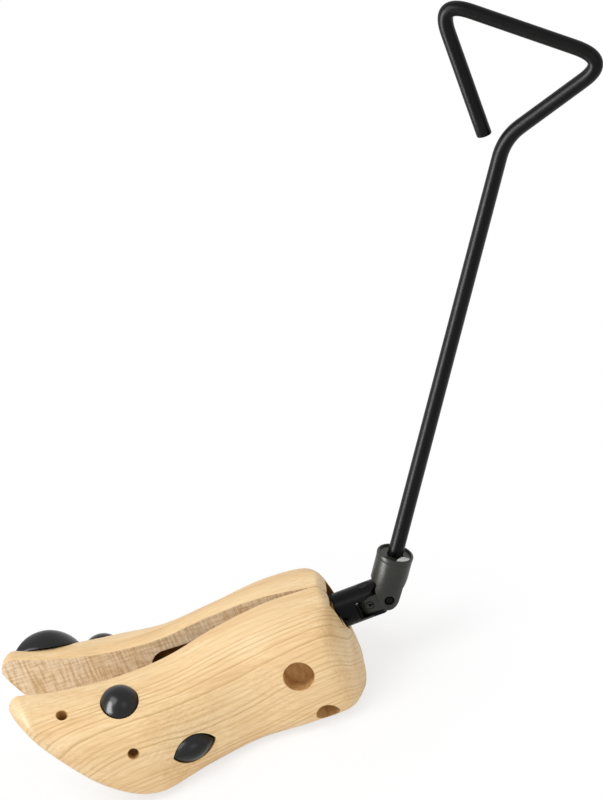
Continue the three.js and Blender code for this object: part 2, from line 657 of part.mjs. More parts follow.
// Nut that travels on the thread, with a drive pin up into the left arm and one down into the right arm
function expander() {
  const group = new THREE.Group();
  const top = NUT_HEIGHT / 2;
  const pinTop = top + WEB_LIFT + ARM_THICKNESS;
  const body = box(-NUT_LENGTH / 2, NUT_LENGTH / 2, -NUT_WIDTH / 2, NUT_WIDTH / 2, -top, top);
  const bore = rod(THREAD_D + 2 * RUNNING_GAP, -NUT_LENGTH, NUT_LENGTH);
  const pinHole = alongZ(rod(DRIVE_PIN_D + 2 * SEAT_GAP, top - DRIVE_PIN_SUNK, top + 1, 16));
  pinHole.translate(0, -DRIVE_PIN_OFFSET, 0);
  const pin = alongZ(rod(DRIVE_PIN_D, top - DRIVE_PIN_SUNK + SEAT_GAP, pinTop, 16)).translate(0, -DRIVE_PIN_OFFSET, 0);
  group.add(piece('expander_nut', cut(body, [bore, pinHole, pinHole.clone().rotateX(Math.PI)]), BRASS()));
  group.add(piece('left_drive_pin', pin, BRIGHT_STEEL()));
  group.add(piece('right_drive_pin', pin.clone().rotateX(Math.PI), BRIGHT_STEEL()));
  group.position.x = -NUT_AT_REST;
  return group;
}

// Link between the two forks, with the upright yoke pin and the roll pin that locks it
function link() {
  const group = new THREE.Group();
  const plan = new THREE.Shape();
  plan.absarc(YOKE_PIN_AT, 0, LINK_WIDTH / 2, Math.PI / 2, Math.PI * 1.5, false);
  plan.lineTo(FOLD_PIN_AT + LINK_THICKNESS, -LINK_WIDTH / 2);
  plan.lineTo(FOLD_PIN_AT + LINK_THICKNESS, LINK_WIDTH / 2);
  plan.closePath();
  const elevation = new THREE.Shape();
  elevation.moveTo(linkRear, -LINK_THICKNESS / 2);
  elevation.lineTo(FOLD_PIN_AT, -LINK_THICKNESS / 2);
  elevation.absarc(FOLD_PIN_AT, 0, LINK_THICKNESS / 2, -Math.PI / 2, Math.PI / 2, false);
  elevation.lineTo(linkRear, LINK_THICKNESS / 2);
  elevation.closePath();
  const sideView = new THREE.ExtrudeGeometry(elevation, { depth: LINK_WIDTH * 2, bevelEnabled: false, curveSegments: 10 });
  sideView.rotateX(Math.PI / 2).translate(0, LINK_WIDTH, 0);
  const bar = common(plate(plan, -LINK_THICKNESS / 2, LINK_THICKNESS / 2, 10), sideView);
  const yokeHole = alongZ(rod(YOKE_PIN_D + 2 * SEAT_GAP, -YOKE_D, YOKE_D, 20)).translate(YOKE_PIN_AT, 0, 0);
  const rollHole = alongY(rod(ROLL_PIN_D + 2 * SEAT_GAP, -YOKE_D, YOKE_D, 16)).translate(YOKE_PIN_AT, 0, 0);
  const foldHole = alongY(rod(FOLD_PIN_D + 2 * RUNNING_GAP, -YOKE_D, YOKE_D, 20)).translate(FOLD_PIN_AT, 0, 0);
  group.add(piece('joint_link', cut(bar, [yokeHole, rollHole, foldHole]), BLACK_STEEL()));
  const yokePin = alongZ(rod(YOKE_PIN_D, -YOKE_D / 2 + SEAT_GAP, YOKE_D / 2 - SEAT_GAP, 20)).translate(YOKE_PIN_AT, 0, 0);
  group.add(piece('yoke_pin', cut(yokePin, [rollHole]), BRIGHT_STEEL()));
  const halfRoll = LINK_WIDTH / 2;
  const rollTube = alongY(ring(ROLL_PIN_D, ROLL_PIN_BORE, -halfRoll, halfRoll)).translate(YOKE_PIN_AT, 0, 0);
  const slit = box(YOKE_PIN_AT, YOKE_PIN_AT + ROLL_PIN_D, -halfRoll - 1, halfRoll + 1, -ROLL_PIN_SLIT / 2, ROLL_PIN_SLIT / 2);
  group.add(piece('roll_pin', cut(rollTube, [slit]), ZINC_STEEL()));
  return group;
}

// Tapered socket with a fork at its lower end, in its own frame: +X up the rod, the fold pin at the origin.
// The socket's round body and the rod stand a little off the pin, towards +Z
function socketGeometry() {
  const full = SOCKET_D / 2;
  const body = turned([
    [0, -SOCKET_D],
    [full, -SOCKET_D],
    [full, SOCKET_LENGTH - SOCKET_CHAMFER],
    [full - SOCKET_CHAMFER, SOCKET_LENGTH],
    [0, SOCKET_LENGTH],
  ], 36).translate(0, 0, SOCKET_OFFSET);
  const elevation = new THREE.Shape();
  const top = SOCKET_OFFSET + full;
  const bottom = SOCKET_OFFSET - full;
  const tangent = (height) => {
    const shoulder = new THREE.Vector2(SOCKET_FULL_AT, height);
    return shoulder.angle() + Math.acos(SOCKET_EAR_RADIUS / shoulder.length());
  };
  elevation.absarc(0, 0, SOCKET_EAR_RADIUS, tangent(top), Math.PI * 2 - tangent(-bottom), false);
  elevation.lineTo(SOCKET_FULL_AT, bottom);
  elevation.lineTo(SOCKET_LENGTH, bottom);
  elevation.lineTo(SOCKET_LENGTH, top);
  elevation.lineTo(SOCKET_FULL_AT, top);
  elevation.closePath();
  const sideView = new THREE.ExtrudeGeometry(elevation, { depth: SOCKET_D * 2, bevelEnabled: false, curveSegments: 10 });
  sideView.rotateX(Math.PI / 2).translate(0, SOCKET_D, 0);
  const slotHalf = LINK_WIDTH / 2 + RUNNING_GAP;
  const slot = box(-SOCKET_D, SOCKET_SLOT_DEPTH, -slotHalf, slotHalf, -SOCKET_D, SOCKET_D);
  const pinHole = alongY(rod(FOLD_PIN_D + 2 * SEAT_GAP, -SOCKET_D, SOCKET_D, 20));
  const rodBore = rod(ROD_D + 2 * SEAT_GAP, SOCKET_LENGTH - SOCKET_BORE_DEPTH - SEAT_GAP, SOCKET_LENGTH + 1);
  rodBore.translate(0, 0, SOCKET_OFFSET);
  return cut(common(body, sideView), [slot, pinHole, rodBore]);
}

// A path of straight runs with rounded corners, and a radius for each corner between them
function roundedPath(corners, radii) {
  const path = new THREE.CurvePath();
  let start = corners[0];
  for (let i = 1; i < corners.length - 1; i += 1) {
    const corner = corners[i];
    const into = corners[i - 1].clone().sub(corner).normalize();
    const out = corners[i + 1].clone().sub(corner).normalize();
    const trim = radii[i - 1] / Math.tan(into.angleTo(out) / 2);
    const enter = corner.clone().addScaledVector(into, trim);
    const leave = corner.clone().addScaledVector(out, trim);
    path.add(new THREE.LineCurve3(start, enter));
    path.add(new THREE.QuadraticBezierCurve3(enter, corner, leave));
    start = leave;
  }
  path.add(new THREE.LineCurve3(start, corners.at(-1)));
  return path;
}

// Tube bent into a triangular grip at its top, in the socket's frame
function rodGeometry() {
  const turn = THREE.MathUtils.degToRad(LOOP_TURN);
  const at = (up, out) => new THREE.Vector3(up, -out * Math.sin(turn), SOCKET_OFFSET - out * Math.cos(turn));
  const top = ROD_TO_BEND + LOOP_HEIGHT;
  const foot = at(SOCKET_LENGTH - SOCKET_BORE_DEPTH, 0);
  const neck = at(ROD_TO_BEND - LOOP_NECK, 0);
  const corners = [
    neck,
    at(ROD_TO_BEND, 0),
    at(top, LOOP_RIGHT),
    at(top, -LOOP_LEFT),
    at(ROD_TO_BEND + LOOP_END_RISE, -LOOP_END_OFFSET),
  ];
  const section = new THREE.Shape().absarc(0, 0, ROD_D / 2, 0, Math.PI * 2, false);
  section.holes.push(new THREE.Path().absarc(0, 0, ROD_BORE / 2, 0, Math.PI * 2, true));
  const swept = (steps, extrudePath) => new THREE.ExtrudeGeometry(section, { steps, curveSegments: 6, extrudePath });
  const overlap = neck.clone().add(new THREE.Vector3(0.5, 0, 0));
  const straight = swept(1, new THREE.LineCurve3(foot, overlap));
  const radii = [NECK_BEND_RADIUS, LOOP_BEND_RADIUS, LOOP_BEND_RADIUS];
  return join([straight, swept(LOOP_STEPS, roundedPath(corners, radii))]);
}

// Short weld bead on the socket's rim, round one side of the rod
function weldGeometry() {
  const radius = (ROD_D + WELD_D) / 2 + SEAT_GAP;
  const height = SOCKET_LENGTH + WELD_D / 2 + SEAT_GAP;
  const middle = THREE.MathUtils.degToRad(WELD_TURN);
  const sweep = THREE.MathUtils.degToRad(WELD_ARC);
  const bead = new THREE.CatmullRomCurve3(Array.from({ length: 7 }, (_, i) => {
    const angle = middle + sweep * (i / 6 - 0.5);
    return new THREE.Vector3(height, radius * Math.cos(angle), SOCKET_OFFSET + radius * Math.sin(angle));
  }));
  const section = new THREE.Shape().absarc(0, 0, WELD_D / 2, 0, Math.PI * 2, false);
  return new THREE.ExtrudeGeometry(section, { steps: 10, curveSegments: 4, extrudePath: bead });
}

function handle() {
  const group = new THREE.Group();
  group.add(piece('handle_socket', socketGeometry(), BLACK_STEEL()));
  const pinHalf = SOCKET_D / 2 - FOLD_PIN_RECESS;
  group.add(piece('fold_pin', alongY(rod(FOLD_PIN_D, -pinHalf, pinHalf, 20)), BLACK_STEEL()));
  group.add(piece('handle_rod', rodGeometry(), GLOSS_BLACK_STEEL()));
  group.add(piece('weld_bead', weldGeometry(), BRIGHT_STEEL()));
  group.position.x = FOLD_PIN_AT;
  group.rotation.y = -THREE.MathUtils.degToRad(HANDLE_BEND);
  return group;
}

// Assembly, centred on the middle of its own footprint
const driveline = new THREE.Group();
driveline.add(bearing(), spindle(), expander(), link(), handle());
driveline.position.z = SPINDLE_HEIGHT;

const shoeStretcher = new THREE.Group();
shoeStretcher.add(halfAssembly(LEFT), halfAssembly(RIGHT), driveline);
shoeStretcher.updateMatrixWorld(true);
const extent = new THREE.Box3().setFromObject(shoeStretcher, true);
const middle = extent.getCenter(new THREE.Vector3());
shoeStretcher.position.set(-middle.x, -middle.y, -extent.min.z);

export default shoeStretcher;
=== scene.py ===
# Looks of the wooden shoe stretcher: fine wood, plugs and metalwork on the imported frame, in metres.

import itertools
import math

import bmesh
import bpy
from mathutils import Matrix, Vector


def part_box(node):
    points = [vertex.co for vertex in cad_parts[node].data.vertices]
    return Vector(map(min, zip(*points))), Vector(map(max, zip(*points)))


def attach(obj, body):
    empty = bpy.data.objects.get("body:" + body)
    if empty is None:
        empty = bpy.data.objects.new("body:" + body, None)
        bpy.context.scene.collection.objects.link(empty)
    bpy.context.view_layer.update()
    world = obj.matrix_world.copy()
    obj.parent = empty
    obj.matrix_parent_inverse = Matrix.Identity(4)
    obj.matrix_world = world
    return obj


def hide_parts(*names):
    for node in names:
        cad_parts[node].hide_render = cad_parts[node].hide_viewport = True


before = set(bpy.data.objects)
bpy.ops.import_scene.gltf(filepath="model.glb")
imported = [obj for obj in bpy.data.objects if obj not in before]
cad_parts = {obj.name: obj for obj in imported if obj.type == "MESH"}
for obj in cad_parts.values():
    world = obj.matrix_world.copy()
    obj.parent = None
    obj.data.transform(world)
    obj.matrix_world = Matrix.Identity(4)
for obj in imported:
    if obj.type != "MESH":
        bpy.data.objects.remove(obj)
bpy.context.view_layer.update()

MM = 0.001

# The closed last, in millimetres
LAST_LENGTH = 222.0
LAST_HALF_WIDTH = 49.5
LAST_HEIGHT = 92.0
HEEL_OVERHANG = 14.0
KERF = 0.6

# Stations from toe to heel, as shares of the length, of the half width and of the height at the top
STATIONS = [
    (0.0, 0.384, 1.0),
    (0.063, 0.576, 0.935),
    (0.162, 0.848, 0.853),
    (0.315, 0.98, 0.777),
    (0.473, 0.808, 0.761),
    (0.63, 0.747, 0.815),
    (0.788, 0.949, 0.837),
    (0.923, 1.0, 0.804),
    (1.0, 0.646, 0.772),
]
TOE_SPRING = 74.0
TOE_SPRING_LENGTH = 75.0
TOE_ROUND_PLAN = 9.5
TOE_ROUND_SIDE = 9.7
HEEL_ROUND_PLAN = 23.5
HEEL_ROUND_TOP = 11.0
HEEL_ROUND_SOLE = 7.0
SOLE_CUT = 2.5
SECTION_BLEND_LENGTH = 150.0
TOE_SECTION = {"upper": 2.2, "lower": 3.4, "widest": 0.27}
HEEL_SECTION = {"upper": 2.9, "lower": 2.9, "widest": 0.31}
ARRIS = 0.5
RINGS = 150
RING_POINTS = 76
WOOD_SMOOTHING = 32.0

# Room for the mechanism, in millimetres, with places from the hinge axis
OPEN_REST = math.radians(6.4)
OPEN_MOST = math.radians(8.84)
BLOCK_FRONT = 10.0
SPINDLE_HEIGHT = 49.3
POCKET_HEIGHT = 22.0
POCKET_FRONT = 105.0
POCKET_DEPTH = 16.8
POCKET_ARC_STEPS = 24
HINGE_POCKET_FRONT = 24.0
HINGE_POCKET_HEIGHT = 31.0
HEEL_WALL = 3.5
YOKE_D = 23.6
YOKE_BORE_D = 28.2
BORE_SIDES = 72
CUT_PAST = 1.0

# Holes and plugs: share of the length, and degrees round the section from the top edge
PEG_HOLE_D = 7.0
PEG_HOLE_DEPTH = 14.0
HOLE_CHAMFER = 0.5
HOLE_SIDES = 64
DRILL_REACH = 20.0
PLUG_SEAT_DEPTH = 1.6
SEAT_GAP = 0.3
SEAT_REACH = 22.0
TOP_TOE_HOLE = {"share": 0.134, "around": 32.8}
TOP_BALL_HOLE = {"share": 0.302, "around": 25.3, "lean": 9.0}
RIGHT_TOE_HOLE = {"share": 0.128, "around": 37.0}
RIGHT_BALL_HOLE = {"share": 0.26, "around": 59.0}
RIGHT_SIDE_HOLE = {"share": 0.335, "around": 78.0}
SIDE_BALL_HOLE = {"share": 0.278, "around": 72.0}
SIDE_WAIST_HOLE = {"share": 0.445, "around": 88.0}
HEEL_HOLE = {"share": 0.804, "around": 75.3, "diameter": 20.0, "depth": 14.0}
LOW_HEEL_HOLE = {"share": 0.84, "around": 111.0, "diameter": 15.5, "depth": 12.0}
PEG_D = 6.4
PEG_LENGTH = 12.0
PEG_CHAMFER = 0.8
PEG_IN_PLUG = 1.0
PLUG_RIM = 0.8
PLUG_FOOT_EDGE = 0.25
PLUG_FOOT_SHARE = 0.985
PLUG_ROWS = 22
PLUG_SMOOTHING = 45.0
LEFT = -1
RIGHT = 1
HOLES = {
    LEFT: (TOP_TOE_HOLE, TOP_BALL_HOLE, SIDE_BALL_HOLE, SIDE_WAIST_HOLE, HEEL_HOLE, LOW_HEEL_HOLE),
    RIGHT: (RIGHT_TOE_HOLE, RIGHT_BALL_HOLE, RIGHT_SIDE_HOLE, SIDE_WAIST_HOLE, HEEL_HOLE, LOW_HEEL_HOLE),
}
ROUND_PLUG = {"size": (24.6, 24.6, 8.6), "turn": 0.0}
OVAL_PLUG = {"size": (31.0, 18.0, 7.0), "turn": 8.0}
LARGE_PLUG = {"size": (45.0, 27.0, 12.5), "turn": 0.0}
PLUGS = {
    "left_round_plug": {"side": LEFT, "hole": TOP_BALL_HOLE, **ROUND_PLUG},
    "left_oval_plug": {"side": LEFT, "hole": SIDE_WAIST_HOLE, **OVAL_PLUG},
    "right_large_plug": {"side": RIGHT, "hole": RIGHT_TOE_HOLE, **LARGE_PLUG},
    "right_round_plug": {"side": RIGHT, "hole": RIGHT_BALL_HOLE, **ROUND_PLUG},
}

# Universal joint, in millimetres, the yoke and link from the hinge axis and the socket from the fold pin
JOINT_SIDES = 120
JOINT_SMOOTHING = 30.0
ARC_STEPS = 40
YOKE_EDGE = 0.45
LINK_EDGE = 0.3
PIN_EDGE = 0.1
YOKE_FACE = 10.0
YOKE_PIN_AT = 32.0
YOKE_END_RADIUS = 8.4
YOKE_SLOT_FROM = 23.5
YOKE_SLOT_HALF = 6.3
SHANK_HOLE_D = 8.6
SHANK_HOLE_END = 20.3
CROSS_PIN_AT = 15.0
CROSS_HOLE_D = 3.6
YOKE_PIN_HOLE_D = 7.6
LINK_HALF_WIDTH = 7.5
LINK_HALF_HEIGHT = 6.0
ROLL_PIN_HOLE_D = 4.8
ROLL_PIN_RIM_D = 6.0
ROLL_PIN_RIM_DEPTH = 0.6
FOLD_PIN_D = 6.0
FOLD_PIN_HALF = 10.4
FOLD_PIN_CHAMFER = 0.7
FOLD_PIN_SIDES = 64
FOLD_HOLE_D = 6.6
FOLD_HOLE_MOUTH_D = 7.6
FOLD_HOLE_MOUTH_DEPTH = 0.6
FOLD_HOLE_SLOPE = 0.4
FOLD_HOLE_SIDES = 48
SOCKET_D = 24.0
SOCKET_LENGTH = 29.5
SOCKET_UPPER_SHOULDER = 10.0
SOCKET_LOWER_SHOULDER = 21.0
SOCKET_LOWER_BEND = (14.0, -9.9)
SOCKET_LOWER_WAIST = (8.5, -7.3)
SOCKET_BEND_STEPS = 12
SOCKET_SLOT_DEPTH = 9.0
SOCKET_SLOT_HALF = 7.8
SOCKET_EAR_RADIUS = 6.8
SOCKET_RECESS_D = 20.6
SOCKET_RECESS_DEPTH = 1.2
ROD_HOLE_D = 10.6
ROD_FOOT_GAP = 0.3

# Profile of the socket's lip, as (inside the full radius, past the start of the lip) points
SOCKET_BODY_INSET = 0.25
SOCKET_LIP_FROM = 26.4
SOCKET_LIP = [(SOCKET_BODY_INSET, -0.8), (0.55, -0.3), (0.5, 0.0), (0.1, 0.3), (0.0, 1.0)]

# Profile of its rim, as (inside the full radius or outside the recess, below the top) points
SOCKET_RIM = [(0.0, 0.9), (0.3, 0.25), (0.9, 0.0)]
SOCKET_RECESS_EDGE = [(0.2, 0.1), (0.0, 0.3)]

# Weld bead, in millimetres, with the shares by which its outline is lumpy
WELD_RADIUS = 8.2
WELD_TURN = math.radians(-146.0)
WELD_HALF_LENGTH = 5.4
WELD_HALF_WIDTH = 2.9
WELD_HEIGHT = 1.5
WELD_SUNK = 0.3
WELD_BROAD_LUMPS = 0.07
WELD_SMALL_LUMPS = 0.05
WELD_RIPPLE = 0.12
WELD_SIDES = 40
WELD_ROWS = 9
WELD_SMOOTHING = 60.0

# Spindle, in millimetres
THREAD_D = 12.0
THREAD_CORE_D = 9.0
THREAD_LEAD = 4.0
THREAD_LENGTH = 70.0
THREAD_GAP = 0.3
THREAD_STEP = 0.4
THREAD_ROOT_SHARE = 0.25
THREAD_FLANK_SHARE = 0.5
THREAD_SMOOTHING = 32.0
SPINDLE_TIP_D = 6.0
SPINDLE_JOURNAL_D = 8.0
SPINDLE_CHAMFER = 0.6
SPINDLE_SIDES = 48

# Handle, in millimetres from the fold pin, along and across the bar
FOLD_PIN_AT = 45.0
HANDLE_BEND = math.radians(56.7)
ROD_D = 10.0
ROD_BORE = 6.0
ROD_FOOT = 14.5
SOCKET_OFFSET = 1.6
ROD_TO_BEND = 339.2
LOOP_HEIGHT = 77.8
LOOP_RIGHT = 53.5
LOOP_LEFT = 65.0
LOOP_TURN = math.radians(23.0)
NECK_BEND_RADIUS = 46.0
LOOP_BEND_RADIUS = 13.0
LOOP_END_RISE = -2.7
LOOP_END_OFFSET = 13.0
TUBE_SIDES = 40
TUBE_SMOOTHING = 40.0
BEND_STEPS = 18
STRAIGHT_STEP = 12.0

# Free end of the tube: distance back from the cut, and how far the rounding lies inside the full radius
TUBE_END = [(0.8, 0.0), (0.25, 0.18), (0.0, 0.7)]
BORE_CHAMFER = 0.3
BORE_DEPTH = 16.0

# The photograph's view, with the pixel at which the hinge axis meets the floor
IMAGE_WIDTH = 603
IMAGE_HEIGHT = 800
VIEW_AZIMUTH = math.radians(6.2)
VIEW_ELEVATION = math.radians(31.0)
VIEW_ROLL = math.radians(23.8)
PIXELS_PER_MM = 1.555
HINGE_PIXEL = (348.9, 677.0)
CAMERA_DISTANCE = 15.0
CAMERA_CLIP_END = 100.0
SENSOR_WIDTH = 36.0

block_low, block_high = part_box("bearing_block")
hinge_x = block_low[0] + BLOCK_FRONT * MM
hinge_y = (block_low[1] + block_high[1]) / 2
hinge = Vector((hinge_x, hinge_y, 0.0))


# Shape of the last

def along_stations(column, share):
    """Smooth interpolation through the stations, with slopes taken from each station's neighbours."""
    last = len(STATIONS) - 1

    def slope(i):
        before = STATIONS[max(i - 1, 0)]
        after = STATIONS[min(i + 1, last)]
        return (after[column] - before[column]) / (after[0] - before[0])

    i = next(k for k in range(last) if share <= STATIONS[k + 1][0])
    step = STATIONS[i + 1][0] - STATIONS[i][0]
    u = (share - STATIONS[i][0]) / step
    start = STATIONS[i][column] * (1 + 2 * u) * (1 - u) ** 2 + slope(i) * step * u * (1 - u) ** 2
    end = STATIONS[i + 1][column] * u * u * (3 - 2 * u) + slope(i + 1) * step * u * u * (u - 1)
    return start + end


def closing(distance, length):
    """Quarter-ellipse factor that is 0 at the tip and 1 from the given length on."""
    return math.sqrt(max(0.0, 1.0 - max(0.0, 1.0 - distance / length) ** 2))


def surface_point(along, around, side):
    """A point on the closed last from the hinge axis. Around is 0 at the top edge and pi at the sole."""
    share = min(max(along / LAST_LENGTH, 0.0), 1.0)
    to_heel = LAST_LENGTH - along
    u = min(max(along / SECTION_BLEND_LENGTH, 0.0), 1.0)
    blend = u * u * (3 - 2 * u)
    section = {key: toe + blend * (HEEL_SECTION[key] - toe) for key, toe in TOE_SECTION.items()}
    width = LAST_HALF_WIDTH * along_stations(1, share)
    half = width * min(closing(along, TOE_ROUND_PLAN), closing(to_heel, HEEL_ROUND_PLAN))
    rise = max(0.0, 1.0 - along / TOE_SPRING_LENGTH) ** 2
    sole = TOE_SPRING * rise - SOLE_CUT * (1.0 - rise)
    top = LAST_HEIGHT * along_stations(2, share)
    middle = sole + section["widest"] * (top - sole)
    upwards = math.cos(around) >= 0
    heel_round = HEEL_ROUND_TOP if upwards else HEEL_ROUND_SOLE
    rounding = min(closing(along, TOE_ROUND_SIDE), closing(to_heel, heel_round))
    power = 2.0 / section["upper" if upwards else "lower"]
    out = max(0.0, math.sin(around)) ** power
    up = abs(math.cos(around)) ** power
    height = (top - middle if upwards else sole - middle) * up
    x = along - (LAST_LENGTH - HEEL_OVERHANG)
    y = side * (half * out + KERF / 2)
    return Vector((x, y, middle + rounding * height))


def surface_frame(hole, side):
    """Matrix at a hole of the closed last: +Z points out of the wood and +X runs towards the heel."""
    along = hole["share"] * LAST_LENGTH
    around = math.radians(hole["around"])
    step = 0.01
    lengthwise = surface_point(along + step, around, side) - surface_point(along - step, around, side)
    crosswise = surface_point(along, around + step, side) - surface_point(along, around - step, side)
    out = (lengthwise.cross(crosswise) * side).normalized()
    heelwards = (lengthwise - out * lengthwise.dot(out)).normalized()
    out = Matrix.Rotation(-side * math.radians(hole.get("lean", 0.0)), 3, heelwards) @ out
    across = out.cross(heelwards)
    place = Matrix((heelwards, across, out)).transposed().to_4x4()
    place.translation = surface_point(along, around, side)
    return place


def half_place(side):
    """Matrix that swings a closed half open to its rest angle and moves it to the frame, in metres."""
    turn = Matrix.Rotation(-side * OPEN_REST, 4, "Z")
    return Matrix.Translation(hinge) @ turn @ Matrix.Scale(MM, 4)


# Mesh helpers

MERGE_WITHIN = 1e-5
DEGENERATE_WITHIN = 1e-6
EASED_SEGMENTS = 3
EASED_FROM_ANGLE = 40.0


def make_object(name, data):
    obj = bpy.data.objects.new(name, data)
    bpy.context.collection.objects.link(obj)
    return obj


def mesh_from(name, points, faces):
    mesh = bpy.data.meshes.new(name)
    mesh.from_pydata([tuple(p) for p in points], [], faces)
    mesh.validate()
    return mesh


def smooth(obj, angle):
    mesh = obj.data
    mesh.shade_smooth()
    mesh.set_sharp_from_angle(angle=math.radians(angle))


def dress(obj, body, materials, replaced):
    """Gives a piece its materials, hides the node it stands for and makes it move with its body."""
    for material in materials:
        obj.data.materials.append(material)
    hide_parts(replaced)
    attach(obj, body)


def ring_point(radius, k, sides):
    """Place of one of the points that are spread evenly round a circle."""
    angle = 2 * math.pi * k / sides
    return radius * math.cos(angle), radius * math.sin(angle)


def ring_faces(rings, sides, first=0, inwards=False):
    """Four-sided faces between neighbouring rings of points."""
    faces = []
    for row in range(rings - 1):
        for k in range(sides):
            a = first + row * sides + k
            b = first + row * sides + (k + 1) % sides
            faces.append((a, a + sides, b + sides, b) if inwards else (a, b, b + sides, a + sides))
    return faces


def revolved(name, profile, sides=48):
    """Closed body of revolution about +Z from (radius, height) points that start and end on the axis."""
    points = []
    rows = []
    for radius, height in profile:
        if radius == 0.0:
            rows.append([len(points)] * sides)
            points.append((0.0, 0.0, height))
            continue
        rows.append([len(points) + k for k in range(sides)])
        points += [(*ring_point(radius, k, sides), height) for k in range(sides)]
    faces = []
    for low, high in zip(rows, rows[1:]):
        for k in range(sides):
            corners = [low[k], low[(k + 1) % sides], high[(k + 1) % sides], high[k]]
            unique = list(dict.fromkeys(corners))
            if len(unique) > 2:
                faces.append(unique)
    return mesh_from(name, points, faces)


def boolean(obj, cutters, operation="DIFFERENCE"):
    """Joins or cuts an object with the cutters, applies the result and removes the cutters."""
    for cutter in cutters:
        modifier = obj.modifiers.new("cut", "BOOLEAN")
        modifier.operation = operation
        modifier.solver = "EXACT"
        modifier.material_mode = "INDEX"
        modifier.object = cutter
    graph = bpy.context.evaluated_depsgraph_get()
    result = bpy.data.meshes.new_from_object(obj.evaluated_get(graph))
    obj.modifiers.clear()
    old = obj.data
    obj.data = result
    bpy.data.meshes.remove(old)
    for cutter in cutters:
        mesh = cutter.data
        bpy.data.objects.remove(cutter)
        bpy.data.meshes.remove(mesh)


def outward(mesh, merge=False):
    """Turns all faces of a closed mesh outwards, if asked after merging the points that coincide."""
    tidy = bmesh.new()
    tidy.from_mesh(mesh)
    if merge:
        bmesh.ops.remove_doubles(tidy, verts=tidy.verts, dist=MERGE_WITHIN)
        bmesh.ops.dissolve_degenerate(tidy, edges=tidy.edges, dist=DEGENERATE_WITHIN)
    bmesh.ops.recalc_face_normals(tidy, faces=tidy.faces)
    tidy.to_mesh(mesh)
    tidy.free()
    return mesh


def prism(name, outline, low, high, axis="Z"):
    """Prism over a closed outline of (x, y) points along Z, or of (x, z) points along Y."""
    count = len(outline)
    points = []
    for along in (low, high):
        for first, second in outline:
            points.append((first, second, along) if axis == "Z" else (first, along, second))
    faces = [tuple(range(count)), tuple(reversed(range(count, 2 * count)))]
    faces += [(k, count + k, count + (k + 1) % count, (k + 1) % count) for k in range(count)]
    return make_object(name, outward(mesh_from(name, points, faces)))


def arc(centre, radius, start, end, steps):
    """Points of an arc in a plane, with both ends."""
    angles = [start + (end - start) * k / steps for k in range(steps + 1)]
    return [(centre[0] + radius * math.cos(a), centre[1] + radius * math.sin(a)) for a in angles]


def bar(name, profile, axis="Z", sides=96):
    """Body of revolution about one of the axes, from (radius, distance along the axis) points."""
    turn = {
        "X": Matrix.Rotation(math.pi / 2, 4, "Y"),
        "Y": Matrix.Rotation(-math.pi / 2, 4, "X"),
        "Z": Matrix.Identity(4),
    }[axis]
    mesh = outward(revolved(name, profile, sides))
    mesh.transform(turn)
    return make_object(name, mesh)


def drill(diameter, low, high, axis="Z", at=(0.0, 0.0, 0.0)):
    """Plain round cutter along one of the axes."""
    radius = diameter / 2
    cutter = bar("cutter", [(0.0, low), (radius, low), (radius, high), (0.0, high)], axis)
    cutter.data.transform(Matrix.Translation(at))
    return cutter


def ease_edges(obj, width):
    """Rounds the sharp edges of a piece by a width in millimetres."""
    bevel = obj.modifiers.new("eased_edges", "BEVEL")
    bevel.width = width * MM
    bevel.segments = EASED_SEGMENTS
    bevel.limit_method = "ANGLE"
    bevel.angle_limit = math.radians(EASED_FROM_ANGLE)
    bevel.harden_normals = True


def block(name, low, high):
    """Box between two opposite corners."""
    points = list(itertools.product(*zip(low, high)))
    faces = [(0, 1, 3, 2), (4, 6, 7, 5), (0, 4, 5, 1), (2, 3, 7, 6), (0, 2, 6, 4), (1, 5, 7, 3)]
    return make_object(name, mesh_from(name, points, faces))


# Materials

def new_material(name):
    material = bpy.data.materials.new(name)
    material.use_nodes = True
    nodes = material.node_tree.nodes
    return material, material.node_tree, nodes["Principled BSDF"]


def fill(tree, node, values):
    """Sets inputs of a node to plain values, or links them to outputs of other nodes."""
    for key, value in values.items():
        if isinstance(value, bpy.types.NodeSocket):
            tree.links.new(value, node.inputs[key])
        else:
            node.inputs[key].default_value = value


def add(tree, kind, values=None, **settings):
    node = tree.nodes.new(kind)
    for key, value in settings.items():
        setattr(node, key, value)
    fill(tree, node, values or {})
    return node


def colour_ramp(tree, factor, stops):
    """Colour ramp from (position, colour) stops with linear colours."""
    ramp = add(tree, "ShaderNodeValToRGB", {"Fac": factor})
    elements = ramp.color_ramp.elements
    while len(elements) < len(stops):
        elements.new(0.5)
    for element, (position, colour) in zip(elements, stops):
        element.position = position
        element.color = colour
    return ramp.outputs["Color"]


def two_tone(tree, factor, dark, light):
    return colour_ramp(tree, factor, [(0.3, dark), (0.7, light)])


def srgb(red, green, blue):
    """Linear opaque colour from 8-bit screen values."""
    def linear(value):
        c = value / 255.0
        return c / 12.92 if c <= 0.04045 else ((c + 0.055) / 1.055) ** 2.4
    return linear(red), linear(green), linear(blue), 1.0


def noise(tree, coordinate, scale, detail, roughness, stretch=(1.0, 1.0, 1.0)):
    mapping = add(tree, "ShaderNodeMapping", {"Scale": stretch, "Vector": coordinate})
    vector = mapping.outputs["Vector"]
    values = {"Scale": scale, "Detail": detail, "Roughness": roughness, "Vector": vector}
    return add(tree, "ShaderNodeTexNoise", values).outputs["Fac"]


def maths(tree, operation, first, second=0.0):
    return add(tree, "ShaderNodeMath", {0: first, 1: second}, operation=operation).outputs["Value"]


def map_range(tree, value, source, target, interpolation="SMOOTHSTEP"):
    values = dict(zip(("From Min", "From Max", "To Min", "To Max"), source + target), Value=value)
    return add(tree, "ShaderNodeMapRange", values, interpolation_type=interpolation).outputs["Result"]


def mix_colour(tree, factor, first, second, blend="MIX"):
    values = {"Factor": factor, "A": first, "B": second}
    return add(tree, "ShaderNodeMix", values, data_type="RGBA", blend_type=blend).outputs["Result"]


